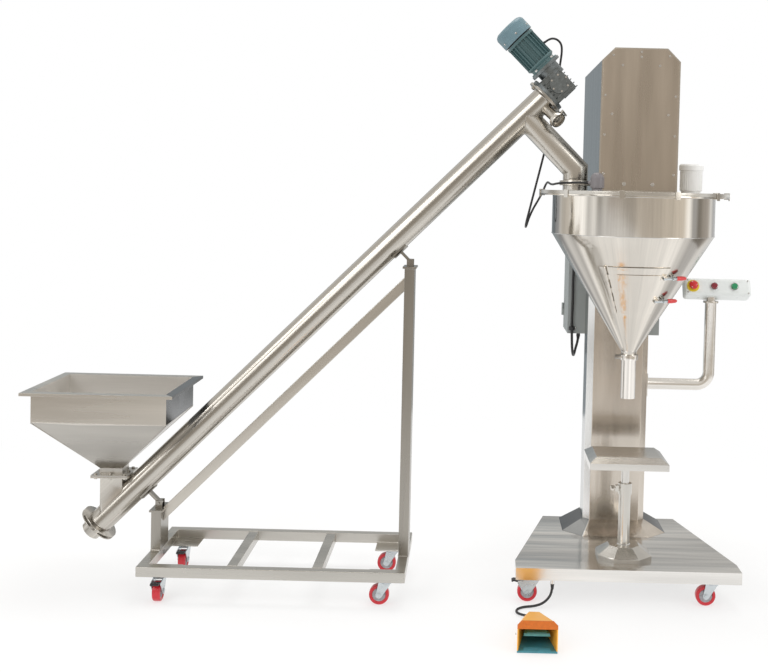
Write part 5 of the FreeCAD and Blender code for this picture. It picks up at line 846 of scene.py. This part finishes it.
made("pedal_screws", side_screws, [bright_screw, black_lever_and_recess_shade], STILL)

# ---------------------------------------------------------------- feeder tube, screw and chute
# Drawn stainless tube with welded end flanges and the inlet duct, the screw in it,
# and the chute with its mitred spout, all welded with a fine rippled bead.
ALONG = Vector((math.sqrt(0.5), 0, math.sqrt(0.5)))
ACROSS = Vector((-math.sqrt(0.5), 0, math.sqrt(0.5)))
TUBE_LOW = Vector((-2171.82, 0, 237.45))
TUBE_LONG, TUBE_RADIUS = 2548.0, 50.8
COVER_FACE, COVER_RADIUS = -8.2, 52


def seam_bead(bm, points, width, closed=False):
    """Rippled weld bead along points given in millimetres."""
    rings = []
    count = len(points)
    for i, at in enumerate(points):
        at = Vector(at)
        way = Vector(points[(i + 1) % count if closed else min(i + 1, count - 1)]) \
            - Vector(points[(i - 1) % count if closed else max(i - 1, 0)])
        turn = way.to_track_quat("Z", "Y").to_matrix()
        r = width / 2 * (1 + 0.16 * math.sin(i * 2.3))
        rings.append([bm.verts.new(place(*(at + turn @ (dot * r)))) for dot in spokes(6)])
    for near, far in zip(rings, rings[1:] + (rings[:1] if closed else [])):
        join_rings(bm, near, far)


def seam(bm, a, b, width):
    """Bead along a straight seam, with a point about every 3 mm."""
    a, b = Vector(a), Vector(b)
    count = max(2, int((b - a).length / 3))
    seam_bead(bm, [a.lerp(b, i / count) for i in range(count + 1)], width)


# Painted reflections round the feeder tube: darker edges and a light line along it.
TUBE_REFLECTIONS = [(0.0, 0.7), (0.06, 1.0), (0.11, 0.86), (0.145, 1.0), (0.175, 0.80), (0.20, 0.62),
              (0.225, 0.70), (0.25, 0.76), (0.275, 0.86), (0.30, 0.94), (0.326, 1.0), (0.355, 1.12),
              (0.385, 0.90), (0.43, 1.0), (0.48, 0.7), (0.6, 0.9), (0.8, 0.8), (1.0, 0.7)]
tube_metal = polished("feeder_tube_painted_reflections", (0.60, 0.57, 0.52), 0.24, painted_reflections=TUBE_REFLECTIONS,
                      axis=TUBE_LOW, tilt=-45)
weld_metal = painted("weld_bead_stainless", (0.52, 0.49, 0.45), 0.34, metallic=1.0, grain=160,
                     change=0.3, rough_change=0.12, bump=0.3, skin_scale=600)


def tube_finish(p):
    """Bright bolts round the bearing cover at the tube's low end."""
    low_end = (p - TUBE_LOW).dot(ALONG) < COVER_FACE
    return 1 if low_end and math.hypot(p.y, (p - TUBE_LOW).dot(ACROSS)) > COVER_RADIUS else 0


eased("feeder_tube", STILL, [tube_metal, bright_screw], 1.0, round_form=True,
      choose=tube_finish)
eased("feeder_screw", "feeder_screw", [machined], 0.6)
chute_metal = brushed("chute_stainless", (0.60, 0.57, 0.52), 0.25, lines=2, tilt=45, cloud=0.14,
                      bump=0.01)
eased("discharge_chute", STILL, [chute_metal], 0.8, round_form=True)
beads = bmesh.new()
FLANGE_BACK, FLANGE_BEAD, INLET_HALF, BRANCH_BEAD = 12.0, 51.6, 45.6, 51.0
for along in (FLANGE_BACK, TUBE_LONG - FLANGE_BACK):
    ring = [TUBE_LOW + ALONG * along + (ACROSS * spoke.x + Y * spoke.y) * FLANGE_BEAD
            for spoke in spokes(90)]
    seam_bead(beads, ring, 3.6, closed=True)
INLET_X, INLET_Z = -2110, 299.3
inlet = []
for spoke in spokes(120):
    x, y = spoke.xy * (INLET_HALF / max(abs(spoke.x), abs(spoke.y)))
    ride = math.sqrt(max(0.0, TUBE_RADIUS ** 2 - y * y))
    inlet.append(Vector((INLET_X + x, y, INLET_Z + x + ride * math.sqrt(2) + 1.0)))
seam_bead(beads, inlet, 4.0, closed=True)
BRANCH_AT = Vector((-452.13, 0, 1957.13))
branch = []
for spoke in spokes(120):
    along, y = spoke.xy * BRANCH_BEAD
    drop = math.sqrt(max(0.0, 51.2 ** 2 - y * y))
    branch.append(BRANCH_AT + ALONG * along + Y * y - ACROSS * drop)
seam_bead(beads, branch, 4.0, closed=True)
made("feeder_beads", beads, [weld_metal], STILL)

# ---------------------------------------------------------------- feeder drive
# Worm gearbox in bare cast aluminium, painted motor with a pale bell and a lighter
# fan cowl over its rear, and a terminal box with a black cable gland. The black step, slots and end
# rings on the cowl are painted shade in its gaps and openings.
MOTOR_MIDDLE = Vector((-312.12, 0, 2097.14))
TERMINAL_Y, TERMINAL_ALONG = 66, 33.5
BELL_TOP, STEP_AT, COWL_AT = 122.5, 242, 247
cast_metal = painted("cast_aluminium", (0.20, 0.22, 0.225), 0.34, metallic=0.85, grain=70,
                     change=0.4, rough_change=0.12, bump=0.5, skin_scale=240)
motor_paint = painted("dark_teal_paint", (0.065, 0.125, 0.13), 0.36, grain=26, change=0.14,
                      bump=0.2, skin_scale=280)
cowl_paint = painted("pale_teal_paint", (0.135, 0.22, 0.255), 0.32, grain=26, change=0.1,
                     bump=0.15, skin_scale=280)
bell_paint = painted("dark_bell_paint", (0.085, 0.15, 0.155), 0.38, grain=26, change=0.12,
                     bump=0.3, skin_scale=240)


def motor_finish(p):
    """Fan cowl, its step painted black as shade in the gap, end bell and terminal box, by height on
    the motor.
    """
    up = (p - MOTOR_MIDDLE).dot(ACROSS)
    if p.y > TERMINAL_Y and (p - MOTOR_MIDDLE).dot(ALONG) > TERMINAL_ALONG:
        return 3
    if up > COWL_AT:
        return 1
    if up > STEP_AT:
        return 3
    return 2 if up < BELL_TOP and p.y < TERMINAL_Y else 0


eased("feeder_gearbox", STILL, [cast_metal], 1.2)
eased("feeder_motor", STILL,
      [motor_paint, cowl_paint, bell_paint, black_plastic_and_painted_shade], 0.9, choose=motor_finish)


def on_motor(up, turn_degrees, radius):
    """Point round the motor's shaft, and the way out from it."""
    turn = math.radians(turn_degrees)
    out = ALONG * math.cos(turn) + Y * math.sin(turn)
    return MOTOR_MIDDLE + ACROSS * up + out * radius, out


COWL_SCREWS_AT, FLANGE_BOLTS_AT, COWL_END, COWL_SLOTS_AT = 266, 104.2, 313, 249
details = bmesh.new()
for turn_degrees in (-150, -90, -30, 30, 90, 150):
    at, out = on_motor(COWL_SCREWS_AT, turn_degrees, 69.6)
    cross_screw(details, 9, 3.2, facing(at, out, ACROSS))
for turn_degrees in (-135, -45, 45, 135):
    at, out = on_motor(FLANGE_BOLTS_AT, turn_degrees, 60)
    hex_head(details, 12, 7, facing(at, -ACROSS))
at, out = on_motor(COWL_END, 0, 0)
# Black rings on the cowl's end: painted shade for the openings of its grille.
for radius in (16, 24, 32, 40, 48):
    turned(details, [(radius, -0.6), (radius + 3.6, -0.6), (radius + 3.6, 0.25), (radius, 0.25)],
           facing(at, ACROSS, Y), 1, 48)
# Black slabs round the cowl by its step: painted shade in its air slots.
COWL_SLOTS = 24
for slot in range(COWL_SLOTS):
    at, out = on_motor(COWL_SLOTS_AT, 360 / COWL_SLOTS * (slot + 0.5), 69.4)
    slab(details, 8, 0.9, 24, facing(at, ACROSS, out), 1)
made("motor_details", details, [bright_screw, black_plastic_and_painted_shade], STILL)
box_bits = bmesh.new()
for dx in (-28, 28):
    for dz in (-38, 38):
        at = MOTOR_MIDDLE + ALONG * dx + ACROSS * (168 + dz) + Y * 106.9
        cross_screw(box_bits, 7.5, 2.4, facing(at, Y, ACROSS))
for turn_degrees in range(0, 360, 60):
    turn = math.radians(turn_degrees)
    at = MOTOR_MIDDLE + ALONG * (34 * math.cos(turn) - 8) + ACROSS * (34 * math.sin(turn)) - Y * 55
    hex_head(box_bits, 9, 4.4, facing(at, -Y))
made("drive_screws", box_bits, [bright_screw, black_lever_and_recess_shade], STILL)

# ---------------------------------------------------------------- feed hopper
# Folded and welded stainless sheet with a turned-out rim. Its corners are welded
# outside, and its throat is bolted to the tube's inlet flange.
feed_metal = brushed("feed_hopper_stainless", (0.66, 0.63, 0.58), 0.30, lines=0, cloud=0.12)
inner_metal = brushed("hopper_inside_stainless", (0.84, 0.82, 0.79), 0.5, lines=0, cloud=0.08)
HOPPER_AT = Vector((-2110.02, 0, 0))
INSIDE_X, INSIDE_Y = 265.6, 215.6
SLOPE_TOP_Z, WALL_FOOT_Z, INSIDE_FOOT_Z, RIM_Z = 691, 695.5, 700, 816
RIGHT_WALL_X, RIGHT_FOOT_Z = 260, 696


def feed_hopper_finish(p):
    """Blasted inside the upright walls; the right wall takes near-black steel as painted shade, and
    the slopes a darker steel.
    """
    across = p - HOPPER_AT
    inside = abs(across.x) < INSIDE_X and abs(across.y) < INSIDE_Y
    if inside and INSIDE_FOOT_Z < p.z < RIM_Z:
        return 1
    if across.x > RIGHT_WALL_X and p.z > RIGHT_FOOT_Z:
        return 3
    return 2 if p.z < SLOPE_TOP_Z else 0


slope_metal = brushed("hopper_slope_stainless", (0.48, 0.46, 0.425), 0.30, lines=0, cloud=0.14)
eased("feed_hopper", STILL, [feed_metal, inner_metal, slope_metal, painted_shade_steel], 1.0,
      choose=feed_hopper_finish)
beads = bmesh.new()
for sx in (-1, 1):
    for sy in (-1, 1):
        seam(beads, (INLET_X + sx * 45.9, sy * 45.9, 480),
             (INLET_X + sx * 266.9, sy * 216.9, 692), 2.6)
loop = [(INLET_X + sx * 267.2, sy * 217.2, WALL_FOOT_Z)
        for sx, sy in ((-1, -1), (1, -1), (1, 1), (-1, 1))]
for a, b in zip(loop, loop[1:] + loop[:1]):
    seam(beads, a, b, 1.6)
made("feed_hopper_beads", beads, [weld_metal], STILL)

# ---------------------------------------------------------------- trolley
# Square stainless tube, mitred and welded, with corner plates over the casters, two
# posts with cap plates and the sloping brace. The lugs pin the feeder tube to them.
trolley_metal = brushed("trolley_stainless", (0.54, 0.52, 0.48), 0.28, lines=0, cloud=0.16)
post_metal = brushed("post_stainless", (0.36, 0.34, 0.305), 0.28, lines=2, cloud=0.14)
brace_metal = brushed("brace_stainless", (0.56, 0.53, 0.48), 0.28, lines=2, tilt=-45, cloud=0.14)
eased("trolley_base", STILL, [trolley_metal], 2.4, 3)
SHORT_POST_X, TALL_POST_X = -1895, -930
eased("trolley_uprights", STILL, [post_metal, brace_metal], 2.0, 3,
      choose=lambda p: 1 if SHORT_POST_X < p.x < TALL_POST_X else 0)
eased("tube_brackets", STILL, [post_metal], 1.0)
CROSS_TUBES, POSTS = (-1572, -1236), (-1920, -907)
RAIL_Y, TUBE_HALF, POST_HALF, FRAME_TOP, POST_FOOT_Z = 230, 20, 60, 148, 148.4
beads = bmesh.new()
for x in CROSS_TUBES:
    for y in (-RAIL_Y, RAIL_Y):
        for side in (x - TUBE_HALF, x + TUBE_HALF):
            seam(beads, (side, y, FRAME_TOP - 39), (side, y, FRAME_TOP - 1), 3.2)
        seam(beads, (x - TUBE_HALF, y, FRAME_TOP), (x + TUBE_HALF, y, FRAME_TOP), 3.0)
for x in POSTS:
    left, right = x - TUBE_HALF, x + TUBE_HALF
    for y in (-POST_HALF, POST_HALF):
        seam(beads, (left, y, POST_FOOT_Z), (right, y, POST_FOOT_Z), 3.6)
    for side in (left, right):
        seam(beads, (side, -POST_HALF, POST_FOOT_Z), (side, POST_HALF, POST_FOOT_Z), 3.6)
made("trolley_beads", beads, [weld_metal], STILL)

# ---------------------------------------------------------------- spout clamp, sensor and filter
# Folded clamp ring with its lever round the spout, the grey level sensor, and the
# white vent filter, all standing on the lid.
sensor_shell = painted("grey_sensor_shell", (0.22, 0.205, 0.215), 0.36, grain=40, change=0.12,
                       bump=0.12)
filter_shell = painted("white_filter_shell", (0.94, 0.94, 0.93), 0.45, grain=30, change=0.04,
                       bump=0.2)
eased("level_sensor", STILL, [sensor_shell], 1.2)
eased("vent_filter", STILL, [filter_shell], 1.0)
FILTER_FOOT, FILTER_RADIUS, FILTER_RIBS = Vector((247, 70, 1671.5)), 45.2, 30
ribs = bmesh.new()
for out in spokes(FILTER_RIBS):
    slab(ribs, 2.2, 1.6, 78, facing(FILTER_FOOT + out * FILTER_RADIUS, Z, out))
made("filter_ribs", ribs, [filter_shell], STILL)

# ---------------------------------------------------------------- strain reliefs
# Tapered black rubber sleeves where each lead leaves its gland, moulded with shallow
# grooves so that they bend with the lead and keep it from kinking.


def sleeve(bm, at, way, long, wide, narrow):
    """Tapered sleeve with shallow grooves, its wide end on the gland."""
    outline = [(0, 0), (wide / 2, 0), (wide / 2, long * 0.12)]
    for groove in range(5):
        up = long * (0.16 + 0.15 * groove)
        r = wide / 2 + (narrow / 2 - wide / 2) * (up / long)
        outline += [(r, up), (r - 0.7, up + long * 0.04), (r - 0.7, up + long * 0.08),
                    (r - 0.2, up + long * 0.11)]
    outline += [(narrow / 2, long), (0, long)]
    turned(bm, outline, facing(at, way), 0, 28)


SLEEVE_LONG, SLEEVE_WALL = 22, 0.6
sleeves = bmesh.new()
for route, wide, lead_wide in ((MOTOR_ROUTE, 15, MOTOR_LEAD_WIDE),
                               (CABINET_ROUTE, 19, CABINET_LEAD_WIDE),
                               (PEDAL_ROUTE, 16, PEDAL_LEAD_WIDE)):
    for end, inner in ((route[0], route[1]), (route[-1], route[-2])):
        way = Vector(inner) - Vector(end)
        sleeve(sleeves, Vector(end), way, min(SLEEVE_LONG, way.length * 0.7), wide,
               lead_wide + 2 * SLEEVE_WALL)
made("lead_sleeves", sleeves, [black_rubber], STILL)
